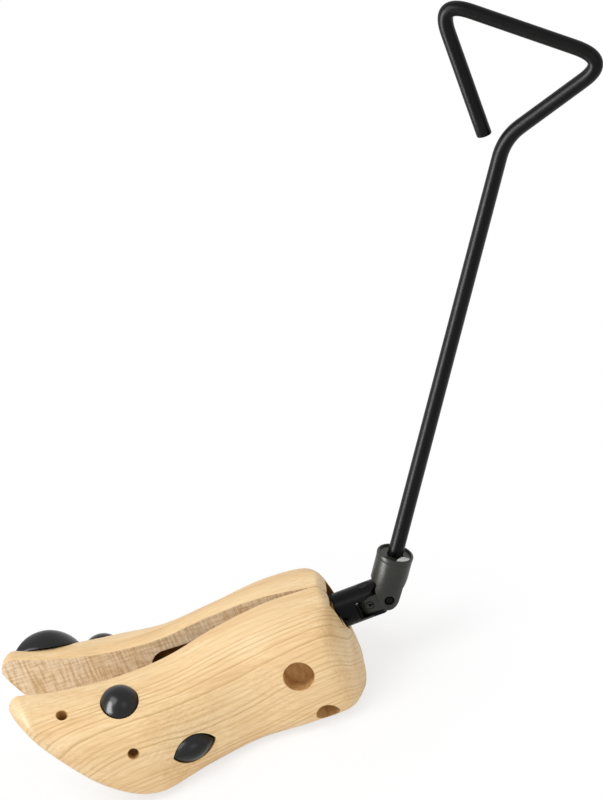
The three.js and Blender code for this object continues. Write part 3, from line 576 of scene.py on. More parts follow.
def bump(tree, height, strength, distance):
    values = {"Strength": strength, "Distance": distance, "Height": height}
    return add(tree, "ShaderNodeBump", values).outputs["Normal"]


# Growth of the wood: the pith's place and the rings in metres, and how far rings wander and show
PITH_HEIGHT = 0.094
PITH_INSET = 0.014
PITH_SLOPE = 0.04
RING_SPACING = 0.0033
RING_WANDER = 0.026
RING_JITTER = 0.003
UNEVEN_RINGS = 1.7
UNEVEN_SCALE = 130.0
PLAIN_WITHIN = 0.022
RINGED_FROM = 0.056
RINGS_SHOWN = (0.1, 1.0)
PATCH_RANGE = (0.25, 0.7)
PATCH_RINGS_SHOWN = (0.6, 1.0)
RING_STRENGTHS = (0.3, 1.0)
RING_PROFILE = [(0.0, 0.12), (0.18, 0.0), (0.5, 0.12), (0.82, 1.0), (1.0, 0.12)]
SAWN_RINGS_SHOWN = 0.3

# Noise in the wood and the metal: scale, detail, roughness and, where it has one, its stretch
WARP = (8.0, 2.0, 0.45, (0.5, 1.0, 1.0))
RIPPLE = (70.0, 3.0, 0.5, (0.12, 1.0, 1.0))
PATCHES = (26.0, 3.0, 0.55, (0.16, 1.0, 1.0))
STREAKS = (70.0, 4.0, 0.6, (0.07, 1.0, 1.0))
FIBRES = (900.0, 4.0, 0.65, (0.03, 1.0, 1.0))
SAW_STROKES = (620.0, 3.0, 0.6, (1.0, 0.2, 0.1))
TORN_FIBRES = (700.0, 4.0, 0.65, (0.14, 0.2, 1.0))
SAWN_CLOUDS = (45.0, 3.0, 0.6)
SWIRLS = (340.0, 3.0, 0.6, (1.0, 0.4, 0.4))
TOOL_LINES = (700.0, 3.0, 0.6)
LONG_LINES = (0.15, 1.0, 1.0)
STAINS = (90.0, 3.0, 0.55)
MOTTLE_RANGE = (0.3, 0.7)
CLOUDS_TO_MOTTLE = 0.08
WHOLE_RANGE = (0.0, 1.0)

# Colours of the wood, and how strongly its fibres and saw strokes show
FIBRES_SHOWN = 0.7
SAWN_STROKES_SHOWN = 0.75
SAWN_FIBRES_SHOWN = 0.6
TORN_TO_SAW_HEIGHT = 0.7
WHITE = srgb(255, 255, 255)
SANDED_STREAKS = [(0.3, srgb(243, 217, 173)), (0.5, srgb(238, 206, 157)), (0.72, srgb(228, 190, 138))]
SANDED_LATE_WOOD = srgb(198, 155, 98)
SANDED_FIBRES = [(0.32, srgb(232, 224, 212)), (0.6, WHITE)]
# The sawn colours are paler than the wood's own: painted light on the inner faces, which the gap between
# the halves shades.
SAWN_WOOD_WITH_PAINTED_LIGHT = [(0.3, srgb(240, 214, 174)), (0.7, srgb(250, 233, 206))]
SAWN_LATE_WOOD = srgb(206, 164, 110)
SAWN_STROKES = [(0.34, srgb(214, 190, 156)), (0.56, WHITE)]
SAWN_FIBRES = [(0.34, srgb(220, 198, 166)), (0.54, WHITE)]


def object_place(tree):
    return add(tree, "ShaderNodeTexCoord").outputs["Object"]


def growth_rings(tree, side):
    """Place, distance from the pith and count of growth rings in a half, warped so that they wander."""
    place = object_place(tree)

    def sway(texture, amount):
        centred = maths(tree, "SUBTRACT", noise(tree, place, *texture), 0.5)
        return maths(tree, "MULTIPLY", centred, amount)

    parts = add(tree, "ShaderNodeSeparateXYZ", {"Vector": place})
    along = maths(tree, "SUBTRACT", parts.outputs["X"], hinge_x)
    splay = maths(tree, "MULTIPLY", along, side * math.tan(OPEN_REST))
    closed = maths(tree, "ADD", parts.outputs["Y"], splay)
    across = maths(tree, "ADD", closed, side * PITH_INSET - hinge_y)
    rise = maths(tree, "MULTIPLY", along, PITH_SLOPE)
    height = maths(tree, "ADD", maths(tree, "SUBTRACT", parts.outputs["Z"], PITH_HEIGHT), rise)
    squares = [maths(tree, "MULTIPLY", value, value) for value in (across, height)]
    radius = maths(tree, "SQRT", maths(tree, "ADD", *squares))
    wandering = maths(tree, "ADD", radius, sway(WARP, RING_WANDER))
    warped = maths(tree, "ADD", wandering, sway(RIPPLE, RING_JITTER))
    values = {"Scale": UNEVEN_SCALE, "Detail": 1.0, "W": warped}
    uneven = add(tree, "ShaderNodeTexNoise", values, noise_dimensions="1D")
    crowding = maths(tree, "MULTIPLY", uneven.outputs[0], UNEVEN_RINGS)
    return place, warped, maths(tree, "ADD", maths(tree, "DIVIDE", warped, RING_SPACING), crowding)


def late_wood(tree, rings):
    """Share of late wood: each ring darkens slowly, ends quickly and has a strength of its own."""
    stops = [(at, (share, share, share, 1.0)) for at, share in RING_PROFILE]
    profile = colour_ramp(tree, maths(tree, "FRACT", rings), stops)
    ring = maths(tree, "FLOOR", rings)
    chance = add(tree, "ShaderNodeTexWhiteNoise", {"W": ring}, noise_dimensions="1D")
    strength = map_range(tree, chance.outputs["Value"], WHOLE_RANGE, RING_STRENGTHS)
    return maths(tree, "MULTIPLY", profile, strength)


def pine(name, side):
    """Sanded pine: pale early wood, honey late wood, broad streaks, fine fibres and a satin seal."""
    material, tree, shader = new_material(name)
    place, radius, rings = growth_rings(tree, side)
    ringed = map_range(tree, radius, (PLAIN_WITHIN, RINGED_FROM), RINGS_SHOWN)
    patches = map_range(tree, noise(tree, place, *PATCHES), PATCH_RANGE, PATCH_RINGS_SHOWN)
    visible = maths(tree, "MULTIPLY", ringed, patches)
    late = maths(tree, "MULTIPLY", late_wood(tree, rings), visible)
    streaks = colour_ramp(tree, noise(tree, place, *STREAKS), SANDED_STREAKS)
    wood = mix_colour(tree, late, streaks, SANDED_LATE_WOOD)
    fibre = noise(tree, place, *FIBRES)
    tint = colour_ramp(tree, fibre, SANDED_FIBRES)
    grained = mix_colour(tree, FIBRES_SHOWN, wood, tint, "MULTIPLY")
    fill(tree, shader, {
        "Base Color": grained,
        "Roughness": map_range(tree, fibre, WHOLE_RANGE, (0.4, 0.58)),
        "Specular IOR Level": 0.35,
        "Normal": bump(tree, fibre, strength=0.1, distance=0.0004),
    })
    return material


def sawn_pine_painted_light(name, side):
    """Rough-sawn inner face: pale wood, made paler still as painted light where the gap shades it, with
    fine upright saw strokes, torn fibres and faint rings.
    """
    material, tree, shader = new_material(name)
    place, _, rings = growth_rings(tree, side)
    saw = noise(tree, place, *SAW_STROKES)
    torn = noise(tree, place, *TORN_FIBRES)
    wood = colour_ramp(tree, noise(tree, place, *SAWN_CLOUDS), SAWN_WOOD_WITH_PAINTED_LIGHT)
    late = maths(tree, "MULTIPLY", late_wood(tree, rings), SAWN_RINGS_SHOWN)
    ringed = mix_colour(tree, late, wood, SAWN_LATE_WOOD)
    strokes = colour_ramp(tree, saw, SAWN_STROKES)
    stroked = mix_colour(tree, SAWN_STROKES_SHOWN, ringed, strokes, "MULTIPLY")
    fibres = colour_ramp(tree, torn, SAWN_FIBRES)
    fibred = mix_colour(tree, SAWN_FIBRES_SHOWN, stroked, fibres, "MULTIPLY")
    height = maths(tree, "ADD", saw, maths(tree, "MULTIPLY", torn, TORN_TO_SAW_HEIGHT))
    fill(tree, shader, {
        "Base Color": fibred,
        "Roughness": 0.85,
        "Specular IOR Level": 0.15,
        "Normal": bump(tree, height, strength=0.25, distance=0.0009),
    })
    return material


def bored_pine(name, dark, light):
    """Bored or routed wood inside holes and pockets, matt and swirled by the cutter; the routed colours
    are darkened as painted shade.
    """
    material, tree, shader = new_material(name)
    swirl = noise(tree, object_place(tree), *SWIRLS)
    fill(tree, shader, {
        "Base Color": two_tone(tree, swirl, dark, light),
        "Roughness": 0.75,
        "Specular IOR Level": 0.2,
        "Normal": bump(tree, swirl, strength=0.3, distance=0.0005),
    })
    return material


def painted(name, dark, light, rough, grain, specular, bump_strength=0.05):
    """Finish with faint mottling in its colour, roughness and surface."""
    material, tree, shader = new_material(name)
    place = object_place(tree)
    mottle = noise(tree, place, scale=grain, detail=4.0, roughness=0.6)
    cloud = noise(tree, place, scale=grain * CLOUDS_TO_MOTTLE, detail=2.0, roughness=0.5)
    fill(tree, shader, {
        "Base Color": two_tone(tree, cloud, dark, light),
        "Roughness": map_range(tree, mottle, MOTTLE_RANGE, rough),
        "Specular IOR Level": specular,
        "Normal": bump(tree, mottle, bump_strength, distance=0.0002),
    })
    return material


def bare_metal(name, dark, light, rough, stretch=(1.0, 1.0, 1.0)):
    """Plated or machined metal with fine tool lines."""
    material, tree, shader = new_material(name)
    place = object_place(tree)
    lines = noise(tree, place, *TOOL_LINES, stretch)
    stain = noise(tree, place, *STAINS)
    fill(tree, shader, {
        "Base Color": two_tone(tree, stain, dark, light),
        "Roughness": map_range(tree, lines, WHOLE_RANGE, rough, "LINEAR"),
        "Metallic": 1.0,
        "Normal": bump(tree, lines, strength=0.12, distance=0.0002),
    })
    return material


bored_wood = bored_pine("bored_pine", srgb(186, 143, 86), srgb(214, 174, 120))
# The routed wood's dark brown is painted shade in the slot and hinge pocket, which lie in the gap
# between the halves.
routed_wood_painted_shade = bored_pine("routed_pine_painted_shade", srgb(112, 76, 40), srgb(148, 106, 62))
gloss_black = painted("gloss_black_paint", srgb(3, 3, 3), srgb(7, 7, 6), (0.3, 0.38), 260.0, 0.13)
satin_black = painted("blackened_steel", srgb(32, 33, 29), srgb(42, 43, 38), (0.3, 0.4), 900.0, 0.32)
dark_black = painted("blackened_yoke", srgb(4, 4, 5), srgb(8, 8, 8), (0.24, 0.34), 900.0, 0.09)
plug_black = painted("plug_plastic", srgb(10, 11, 10), srgb(15, 16, 15), (0.2, 0.26), 500.0, 0.32, 0.02)
weld_grey = painted("weld_bead", srgb(182, 182, 178), srgb(212, 212, 208), (0.3, 0.5), 700.0, 0.5, 0.2)
zinc = bare_metal("zinc_plate", srgb(150, 152, 152), srgb(186, 188, 188), (0.28, 0.44))
bright = bare_metal("bright_steel", srgb(196, 197, 196), srgb(222, 222, 220), (0.2, 0.36))
brass = bare_metal("machined_brass", srgb(168, 132, 66), srgb(196, 160, 88), (0.24, 0.4), LONG_LINES)


# Halves of the last

# Material slots of a half; the routed slot holds painted shade and the sawn slot holds painted light.
SURFACE_SLOT, SAWN_SLOT, BORED_SLOT, ROUTED_SHADE_SLOT = 0, 1, 2, 3
CUT_FACE_SLOTS = {"relief": SAWN_SLOT, "ground": SURFACE_SLOT, "slot": ROUTED_SHADE_SLOT, "pocket": ROUTED_SHADE_SLOT}


def half_blank(name, side):
    """One half as a fine closed loft in millimetres, with eased arrises and a flat inner face."""
    points = []
    columns = RING_POINTS + 1
    for i in range(RINGS + 1):
        along = LAST_LENGTH * (0.5 - 0.5 * math.cos(math.pi * i / RINGS))
        for j in range(columns):
            point = surface_point(along, math.pi * j / RING_POINTS, side)
            if 0 < i < RINGS and j in (0, RING_POINTS):
                point.z += ARRIS if j else -ARRIS
            points.append(point)
    faces = []
    for i in range(RINGS):
        here, ahead = i * columns, (i + 1) * columns
        for j in range(RING_POINTS):
            faces.append((here + j, ahead + j, ahead + j + 1, here + j + 1))
        faces.append((here, here + RING_POINTS, ahead + RING_POINTS, ahead))
    return make_object(name, outward(mesh_from(name, points, faces), merge=True))


def hole_cutter(hole, side):
    """Drill with a small chamfer at the mouth, of a peg hole's size where the hole names no other."""
    radius = hole.get("diameter", PEG_HOLE_D) / 2
    depth = hole.get("depth", PEG_HOLE_DEPTH)
    mouth = radius + HOLE_CHAMFER
    profile = [(0.0, -depth), (radius, -depth), (radius, -HOLE_CHAMFER)]
    profile += [(mouth, 0.0), (mouth, DRILL_REACH), (0.0, DRILL_REACH)]
    cutter = make_object("drill", revolved("drill", profile, HOLE_SIDES))
    cutter.data.transform(surface_frame(hole, side))
    return cutter


def plug_outline(size, grow, steps=96):
    """Pointed-oval outline of two arcs, or a circle where both sizes are the same, in millimetres."""
    half_length, half_width = size[0] / 2 + grow, size[1] / 2 + grow
    radius = (half_length ** 2 + half_width ** 2) / (2 * half_width)
    reach = math.asin(min(1.0, half_length / radius))
    outline = []
    for k in range(steps):
        share = (k / steps) * 2
        sign = 1 if share < 1 else -1
        angle = reach * (1 - 2 * (share % 1.0))
        across = radius * math.cos(angle) - radius + half_width
        outline.append((sign * radius * math.sin(angle), sign * across))
    return outline


def plug_place(plug):
    turn = Matrix.Rotation(math.radians(plug["turn"]) * plug["side"], 4, "Z")
    return surface_frame(plug["hole"], plug["side"]) @ turn


def seat_cutter(plug):
    outline = plug_outline(plug["size"], SEAT_GAP)
    cutter = prism("seat", outline, -PLUG_SEAT_DEPTH, SEAT_REACH)
    cutter.data.transform(plug_place(plug))
    return cutter


def mechanism_cutters(side):
    """Routed slot, hinge pocket, yoke bore, heel relief and the cut that flattens the sole."""
    inner, outer = sorted((side * -CUT_PAST, side * POCKET_DEPTH))
    z = SPINDLE_HEIGHT
    radius = POCKET_HEIGHT / 2
    front = arc((-POCKET_FRONT, z), radius, math.pi / 2, 1.5 * math.pi, POCKET_ARC_STEPS)
    slot = prism("slot", [(0.0, z + radius)] + front + [(0.0, z - radius)], inner, outer, "Y")
    half_height = HINGE_POCKET_HEIGHT / 2
    low = (-HINGE_POCKET_FRONT, inner, z - half_height)
    high = (HEEL_OVERHANG - HEEL_WALL, outer, z + half_height)
    pocket = block("pocket", low, high)
    radius = YOKE_BORE_D / 2
    end = HEEL_OVERHANG + CUT_PAST
    profile = [(0.0, 0.0), (radius, 0.0), (radius, end), (0.0, end)]
    bore = make_object("bore", revolved("bore", profile, BORE_SIDES))
    bore.data.transform(Matrix.Translation((0, 0, z)) @ Matrix.Rotation(math.pi / 2, 4, "Y"))
    big = LAST_LENGTH
    near, far = sorted((0.0, -side * big))
    relief = block("relief", (0.0, near, -big), (big, far, big))
    swing = Matrix.Rotation(side * OPEN_MOST, 4, "Z")
    relief.data.transform(Matrix.Translation((0, side * KERF / 2, 0)) @ swing)
    ground = block("ground", (-big, -big, -big), (big, big, 0.0))
    return [slot, pocket, bore, relief, ground]


def half(side):
    """One half with its pockets, holes and seats, each cut face in the finish that its tool leaves, with
    painted shade in the routed slot and pocket and painted light on the sawn faces.
    """
    word = "left" if side == LEFT else "right"
    obj = half_blank(f"{word}_last", side)
    cutters = mechanism_cutters(side)
    cutters += [hole_cutter(hole, side) for hole in HOLES[side]]
    cutters += [seat_cutter(plug) for plug in PLUGS.values() if plug["side"] == side]
    own = [pine(f"{word}_pine", side), sawn_pine_painted_light(f"{word}_sawn_pine_painted_light", side)]
    materials = own + [bored_wood, routed_wood_painted_shade]
    for piece in [obj] + cutters:
        for material in materials:
            piece.data.materials.append(material)
    for polygon in obj.data.polygons:
        if all(abs(obj.data.vertices[v].co.y) < KERF for v in polygon.vertices):
            polygon.material_index = SAWN_SLOT
    for cutter in cutters:
        for polygon in cutter.data.polygons:
            polygon.material_index = CUT_FACE_SLOTS.get(cutter.name, BORED_SLOT)
    boolean(obj, cutters)
    obj.data.transform(half_place(side))
    smooth(obj, WOOD_SMOOTHING)
    dress(obj, f"{word}_half", [], f"{word}_half")


half(LEFT)
half(RIGHT)


# Plugs

def plug_mesh(name, size):
    """Dome on a pointed-oval or round foot, with a soft rim, in millimetres about its hole's axis."""
    outline = plug_outline(size, 0.0)
    count = len(outline)
    half_length, rise = size[0] / 2, size[2] - PLUG_RIM
    radius = (half_length ** 2 + rise ** 2) / (2 * rise)
    points = [(0.0, 0.0, size[2])]
    for i in range(1, PLUG_ROWS + 1):
        share = i / PLUG_ROWS
        drop = radius - math.sqrt(max(0.0, radius ** 2 - (half_length * share) ** 2))
        points += [(x * share, y * share, size[2] - drop) for x, y in outline]
    points += [(x, y, PLUG_FOOT_EDGE) for x, y in outline]
    points += [(x * PLUG_FOOT_SHARE, y * PLUG_FOOT_SHARE, 0.0) for x, y in outline]
    points.append((0.0, 0.0, 0.0))
    faces = [(0, 1 + k, 1 + (k + 1) % count) for k in range(count)]
    faces += ring_faces(PLUG_ROWS + 2, count, first=1, inwards=True)
    last = 1 + (PLUG_ROWS + 1) * count
    centre = last + count
    faces += [(last + (k + 1) % count, last + k, centre) for k in range(count)]
    return mesh_from(name, points, faces)


def peg_mesh():
    """Round peg under a plug, with a chamfered tip."""
    radius, tip = PEG_D / 2, -PEG_LENGTH
    profile = [(0.0, tip), (radius - PEG_CHAMFER, tip), (radius, tip + PEG_CHAMFER)]
    profile += [(radius, PEG_IN_PLUG), (0.0, PEG_IN_PLUG)]
    return revolved("peg", profile)


def plug(name):
    entry = PLUGS[name]
    lower = Matrix.Translation((0, 0, SEAT_GAP - PLUG_SEAT_DEPTH))
    obj = make_object(name + "_dome", plug_mesh(name + "_dome", entry["size"]))
    boolean(obj, [make_object("peg", peg_mesh())], "UNION")
    obj.data.transform(half_place(entry["side"]) @ plug_place(entry) @ lower)
    smooth(obj, PLUG_SMOOTHING)
    dress(obj, name, [plug_black], name)


for plug_name in PLUGS:
    plug(plug_name)


# Handle

fold_pin_place = Matrix.Translation(hinge + Vector((FOLD_PIN_AT, 0.0, SPINDLE_HEIGHT)) * MM)
handle_place = fold_pin_place @ Matrix.Rotation(-HANDLE_BEND, 4, "Y") @ Matrix.Scale(MM, 4)


def rounded_path(corners, radii):
    """Points of a path of straight runs with smoothly bent corners, as (point, heading) pairs."""
    path = []
    start = corners[0]

    def straight(a, b):
        steps = max(1, int((b - a).length / STRAIGHT_STEP))
        path.extend((a.lerp(b, k / steps), (b - a).normalized()) for k in range(steps))

    for before, corner, after, radius in zip(corners, corners[1:], corners[2:], radii):
        into = (before - corner).normalized()
        out = (after - corner).normalized()
        trim = radius / math.tan(into.angle(out) / 2)
        enter = corner + into * trim
        leave = corner + out * trim
        straight(start, enter)
        for k in range(BEND_STEPS):
            u = k / BEND_STEPS
            first, second = enter.lerp(corner, u), corner.lerp(leave, u)
            path.append((first.lerp(second, u), (second - first).normalized()))
        start = leave
    straight(start, corners[-1])
    path.append((corners[-1], (corners[-1] - start).normalized()))
    return path


def handle_tube():
    """Bent tube with a rounded cut at its free end, where its bore shows."""
    def at(up, out):
        return Vector((up, -out * math.sin(LOOP_TURN), SOCKET_OFFSET - out * math.cos(LOOP_TURN)))

    top = ROD_TO_BEND + LOOP_HEIGHT
    corners = [
        at(ROD_FOOT, 0.0),
        at(ROD_TO_BEND, 0.0),
        at(top, LOOP_RIGHT),
        at(top, -LOOP_LEFT),
        at(ROD_TO_BEND + LOOP_END_RISE, -LOOP_END_OFFSET),
    ]
    path = rounded_path(corners, [NECK_BEND_RADIUS, LOOP_BEND_RADIUS, LOOP_BEND_RADIUS])
    plane_normal = Vector((0.0, math.cos(LOOP_TURN), -math.sin(LOOP_TURN)))
    radius, bore = ROD_D / 2, ROD_BORE / 2
    end, heading = path[-1]
    rings = [(point, direction, radius) for point, direction in path[:-1]]
    rings += [(end - heading * back, heading, radius - inset) for back, inset in TUBE_END]
    rings += [
        (end, heading, bore + BORE_CHAMFER),
        (end - heading * BORE_CHAMFER, heading, bore),
        (end - heading * BORE_DEPTH, heading, bore),
    ]
    points = []
    for point, direction, reach in rings:
        other = direction.cross(plane_normal).normalized()
        for k in range(TUBE_SIDES):
            first, second = ring_point(1.0, k, TUBE_SIDES)
            points.append(point + (plane_normal * first + other * second) * reach)
    faces = ring_faces(len(rings), TUBE_SIDES)
    faces.append(tuple(reversed(range(TUBE_SIDES))))
    faces.append(tuple(range(len(points) - TUBE_SIDES, len(points))))
    obj = make_object("handle_tube", mesh_from("handle_tube", points, faces))
    obj.data.transform(handle_place)
    smooth(obj, TUBE_SMOOTHING)
    dress(obj, "handle", [gloss_black], "handle_rod")


handle_tube()


# Universal joint

joint_place = Matrix.Translation(hinge + Vector((0.0, 0.0, SPINDLE_HEIGHT)) * MM) @ Matrix.Scale(MM, 4)


def mirrored(profile):
    """The other end of a profile that is the same at both ends."""
    return [(radius, -along) for radius, along in reversed(profile)]


def finish_joint_piece(obj, place, body, material, replaced, edge):
    obj.data.transform(place)
    smooth(obj, JOINT_SMOOTHING)
    ease_edges(obj, edge)
    dress(obj, body, [material], replaced)


def yoke():
    """Round bar with a fork at its free end and a hole for the upright pin."""
    radius = YOKE_D / 2
    reach = YOKE_D
    far = YOKE_PIN_AT + reach
    before = YOKE_FACE - CUT_PAST
    profile = [(0.0, YOKE_FACE), (radius, YOKE_FACE), (radius, far), (0.0, far)]
    obj = bar("yoke_fork", profile, "X", JOINT_SIDES)
    nose = arc((YOKE_PIN_AT, 0.0), YOKE_END_RADIUS, -math.pi / 2, math.pi / 2, ARC_STEPS)
    plan = [(before, -reach), (YOKE_PIN_AT, -reach)] + nose + [(YOKE_PIN_AT, reach), (before, reach)]
    boolean(obj, [prism("plan", plan, -reach, reach)], "INTERSECT")
    low = (YOKE_SLOT_FROM, -reach, -YOKE_SLOT_HALF)
    high = (far, reach, YOKE_SLOT_HALF)
    boolean(obj, [
        block("slot", low, high),
        drill(SHANK_HOLE_D, before, SHANK_HOLE_END, "X"),
        drill(YOKE_PIN_HOLE_D, -reach, reach, "Z", (YOKE_PIN_AT, 0.0, 0.0)),
        drill(CROSS_HOLE_D, -reach, reach, "Y", (CROSS_PIN_AT, 0.0, 0.0)),
    ])
    finish_joint_piece(obj, joint_place, "spindle", dark_black, "spindle_yoke", YOKE_EDGE)


def joint_link():
    """Block between the two forks, round at both ends, with a rim round its small pin."""
    half_width = LINK_HALF_WIDTH
    past = half_width + CUT_PAST
    front = FOLD_PIN_AT + LINK_HALF_HEIGHT + CUT_PAST
    rear = arc((YOKE_PIN_AT, 0.0), half_width, math.pi / 2, 1.5 * math.pi, ARC_STEPS)
    plan = rear + [(front, -half_width), (front, half_width)]
    obj = prism("link_block", plan, -LINK_HALF_HEIGHT, LINK_HALF_HEIGHT)
    nose = arc((FOLD_PIN_AT, 0.0), LINK_HALF_HEIGHT, -math.pi / 2, math.pi / 2, ARC_STEPS)
    back = YOKE_PIN_AT - past
    side = [(back, -LINK_HALF_HEIGHT)] + nose + [(back, LINK_HALF_HEIGHT)]
    boolean(obj, [prism("side", side, -past, past, "Y")], "INTERSECT")
    at = (YOKE_PIN_AT, 0.0, 0.0)
    rim = half_width - ROLL_PIN_RIM_DEPTH
    boolean(obj, [
        drill(YOKE_PIN_HOLE_D, -half_width, half_width, "Z", at),
        drill(ROLL_PIN_HOLE_D, -past, past, "Y", at),
        drill(ROLL_PIN_RIM_D, -past, -rim, "Y", at),
        drill(ROLL_PIN_RIM_D, rim, past, "Y", at),
        drill(FOLD_HOLE_D, -past, past, "Y", (FOLD_PIN_AT, 0.0, 0.0)),
    ])
    finish_joint_piece(obj, joint_place, "link", satin_black, "joint_link", LINK_EDGE)


def socket():
    """Round socket with a lip round its recessed top, tapering to a fork at the fold pin."""
    full = SOCKET_D / 2
    recess = SOCKET_RECESS_D / 2
    floor = SOCKET_LENGTH - SOCKET_RECESS_DEPTH
    profile = [(0.0, -SOCKET_D), (full - SOCKET_BODY_INSET, -SOCKET_D)]
    profile += [(full - inset, SOCKET_LIP_FROM + past) for inset, past in SOCKET_LIP]
    profile += [(full - inset, SOCKET_LENGTH - below) for inset, below in SOCKET_RIM]
    profile += [(recess + wider, SOCKET_LENGTH - below) for wider, below in SOCKET_RECESS_EDGE]
    profile += [(recess, floor), (0.0, floor)]
    obj = bar("socket_body", profile, "X", JOINT_SIDES)
    obj.data.transform(Matrix.Translation((0, 0, SOCKET_OFFSET)))
    top, bottom = SOCKET_OFFSET + full, SOCKET_OFFSET - full

    def tangent(along, height):
        shoulder = Vector((along, height))
        return math.atan2(height, along) + math.acos(SOCKET_EAR_RADIUS / shoulder.length)

    waist = Vector(SOCKET_LOWER_WAIST)
    upper = tangent(SOCKET_UPPER_SHOULDER, top)
    lower = 2 * math.pi - tangent(waist.x, -waist.y)
    side = arc((0.0, 0.0), SOCKET_EAR_RADIUS, upper, lower, ARC_STEPS)
    shoulder = Vector((SOCKET_LOWER_SHOULDER, bottom))
    bend = Vector(SOCKET_LOWER_BEND)
    for k in range(SOCKET_BEND_STEPS + 1):
        u = k / SOCKET_BEND_STEPS
        point = waist.lerp(bend, u).lerp(bend.lerp(shoulder, u), u)
        side.append((point.x, point.y))
    beyond = SOCKET_LENGTH + CUT_PAST
    side += [
        (SOCKET_LOWER_SHOULDER, bottom - CUT_PAST),
        (beyond, bottom - CUT_PAST),
        (beyond, top + CUT_PAST),
        (SOCKET_UPPER_SHOULDER, top + CUT_PAST),
        (SOCKET_UPPER_SHOULDER, top),
    ]
    boolean(obj, [prism("side", side, -SOCKET_D, SOCKET_D, "Y")], "INTERSECT")
    low = (-SOCKET_D, -SOCKET_SLOT_HALF, -SOCKET_D)
    high = (SOCKET_SLOT_DEPTH, SOCKET_SLOT_HALF, SOCKET_D)
    mouth = FOLD_HOLE_MOUTH_D / 2
    hole = FOLD_HOLE_D / 2
    step = -(full - FOLD_HOLE_MOUTH_DEPTH)
    pin_hole = [(0.0, -full), (mouth, -full), (mouth, step), (hole, step + FOLD_HOLE_SLOPE)]
    pin_hole += mirrored(pin_hole)
    boolean(obj, [
        block("slot", low, high),
        bar("pin_hole", pin_hole, "Y", FOLD_HOLE_SIDES),
        drill(ROD_HOLE_D, ROD_FOOT - ROD_FOOT_GAP, beyond, "X", (0.0, 0.0, SOCKET_OFFSET)),
    ])
    finish_joint_piece(obj, handle_place, "handle", satin_black, "handle_socket", LINK_EDGE)


def fold_pin():
    """Cross pin whose chamfered ends lie a little deep in the socket's ears."""
    radius, end = FOLD_PIN_D / 2, -FOLD_PIN_HALF
    profile = [(0.0, end), (radius - FOLD_PIN_CHAMFER, end), (radius, end + FOLD_PIN_CHAMFER)]
    profile += mirrored(profile)
    obj = bar("fold_pin_bar", profile, "Y", FOLD_PIN_SIDES)
    finish_joint_piece(obj, handle_place, "handle", dark_black, "fold_pin", PIN_EDGE)


def weld():
    """Lumpy flat bead of weld between the rod and the socket's lip."""
    sides = WELD_SIDES
    points = [(0.0, 0.0, WELD_HEIGHT)]
    for i in range(1, WELD_ROWS + 1):
        share = i / WELD_ROWS
        dome = WELD_HEIGHT * math.sqrt(max(0.0, 1 - share ** 3))
        for k in range(sides):
            angle = 2 * math.pi * k / sides
            broad = WELD_BROAD_LUMPS * math.sin(3 * angle + 0.6)
            reach = share * (1 + broad + WELD_SMALL_LUMPS * math.sin(7 * angle))
            x = WELD_HALF_LENGTH * reach * math.cos(angle)
            y = WELD_HALF_WIDTH * reach * math.sin(angle)
            points.append((x, y, dome + WELD_RIPPLE * math.sin(5 * angle + 6 * share)))
    points += [(x, y, -WELD_SUNK) for x, y, _ in points[-sides:]]
    faces = [(0, 1 + k, 1 + (k + 1) % sides) for k in range(sides)]
    faces += ring_faces(WELD_ROWS + 1, sides, first=1, inwards=True)
    faces.append(tuple(reversed(range(len(points) - sides, len(points)))))
    obj = make_object("weld_patch", outward(mesh_from("weld_patch", points, faces)))
    radial = Vector((0.0, math.cos(WELD_TURN), math.sin(WELD_TURN)))
    upwards = Vector((1.0, 0.0, 0.0))
    place = Matrix((radial.cross(upwards), radial, upwards)).transposed().to_4x4()
    recess_floor = Vector((SOCKET_LENGTH - SOCKET_RECESS_DEPTH, 0.0, SOCKET_OFFSET))
    place.translation = radial * WELD_RADIUS + recess_floor
    obj.data.transform(handle_place @ place)
    smooth(obj, WELD_SMOOTHING)
    dress(obj, "handle", [weld_grey], "weld_bead")


yoke()
joint_link()
socket()
fold_pin()
weld()


# Spindle

def spindle_thread():
    """Spindle with a helical thread between its plain tip and the journal in the bearing block."""
    low, high = (value[0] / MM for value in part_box("spindle_screw"))
    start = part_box("front_thrust_washer")[0][0] / MM - THREAD_GAP
    end = start - THREAD_LENGTH
    core, crest = THREAD_CORE_D / 2, THREAD_D / 2

    def radius(x, angle):
        run_out = min(1.0, (x - end) / THREAD_LEAD, (start - x) / THREAD_LEAD)
        wave = abs((x / THREAD_LEAD - angle / (2 * math.pi)) % 1.0 - 0.5) * 2
        height = min(1.0, max(0.0, (wave - THREAD_ROOT_SHARE) / THREAD_FLANK_SHARE))
        return core + (crest - core) * height * max(0.0, run_out)

    sides = SPINDLE_SIDES
    count = round(THREAD_LENGTH / THREAD_STEP)
    thread = [end + (start - end) * k / count for k in range(count + 1)]
    tip, journal = SPINDLE_TIP_D / 2, SPINDLE_JOURNAL_D / 2
    rings = [(low, tip - SPINDLE_CHAMFER), (low + SPINDLE_CHAMFER, tip), (end, tip)]
    rings += [(x, None) for x in thread]
    rings += [(start, journal), (high - SPINDLE_CHAMFER, journal), (high, journal - SPINDLE_CHAMFER)]
    points = []
    for x, plain in rings:
        for k in range(sides):
            size = radius(x, 2 * math.pi * k / sides) if plain is None else plain
            points.append((x, *ring_point(size, k, sides)))
    faces = [tuple(range(sides)), tuple(range(len(points) - sides, len(points)))]
    faces += ring_faces(len(rings), sides)
    mesh = outward(mesh_from("spindle_thread", points, faces))
    mesh.transform(Matrix.Translation((0, hinge_y, SPINDLE_HEIGHT * MM)) @ Matrix.Scale(MM, 4))
    obj = make_object("spindle_thread", mesh)
    smooth(obj, THREAD_SMOOTHING)
    dress(obj, "spindle", [zinc], "spindle_screw")


spindle_thread()


# Metalwork kept from the frame

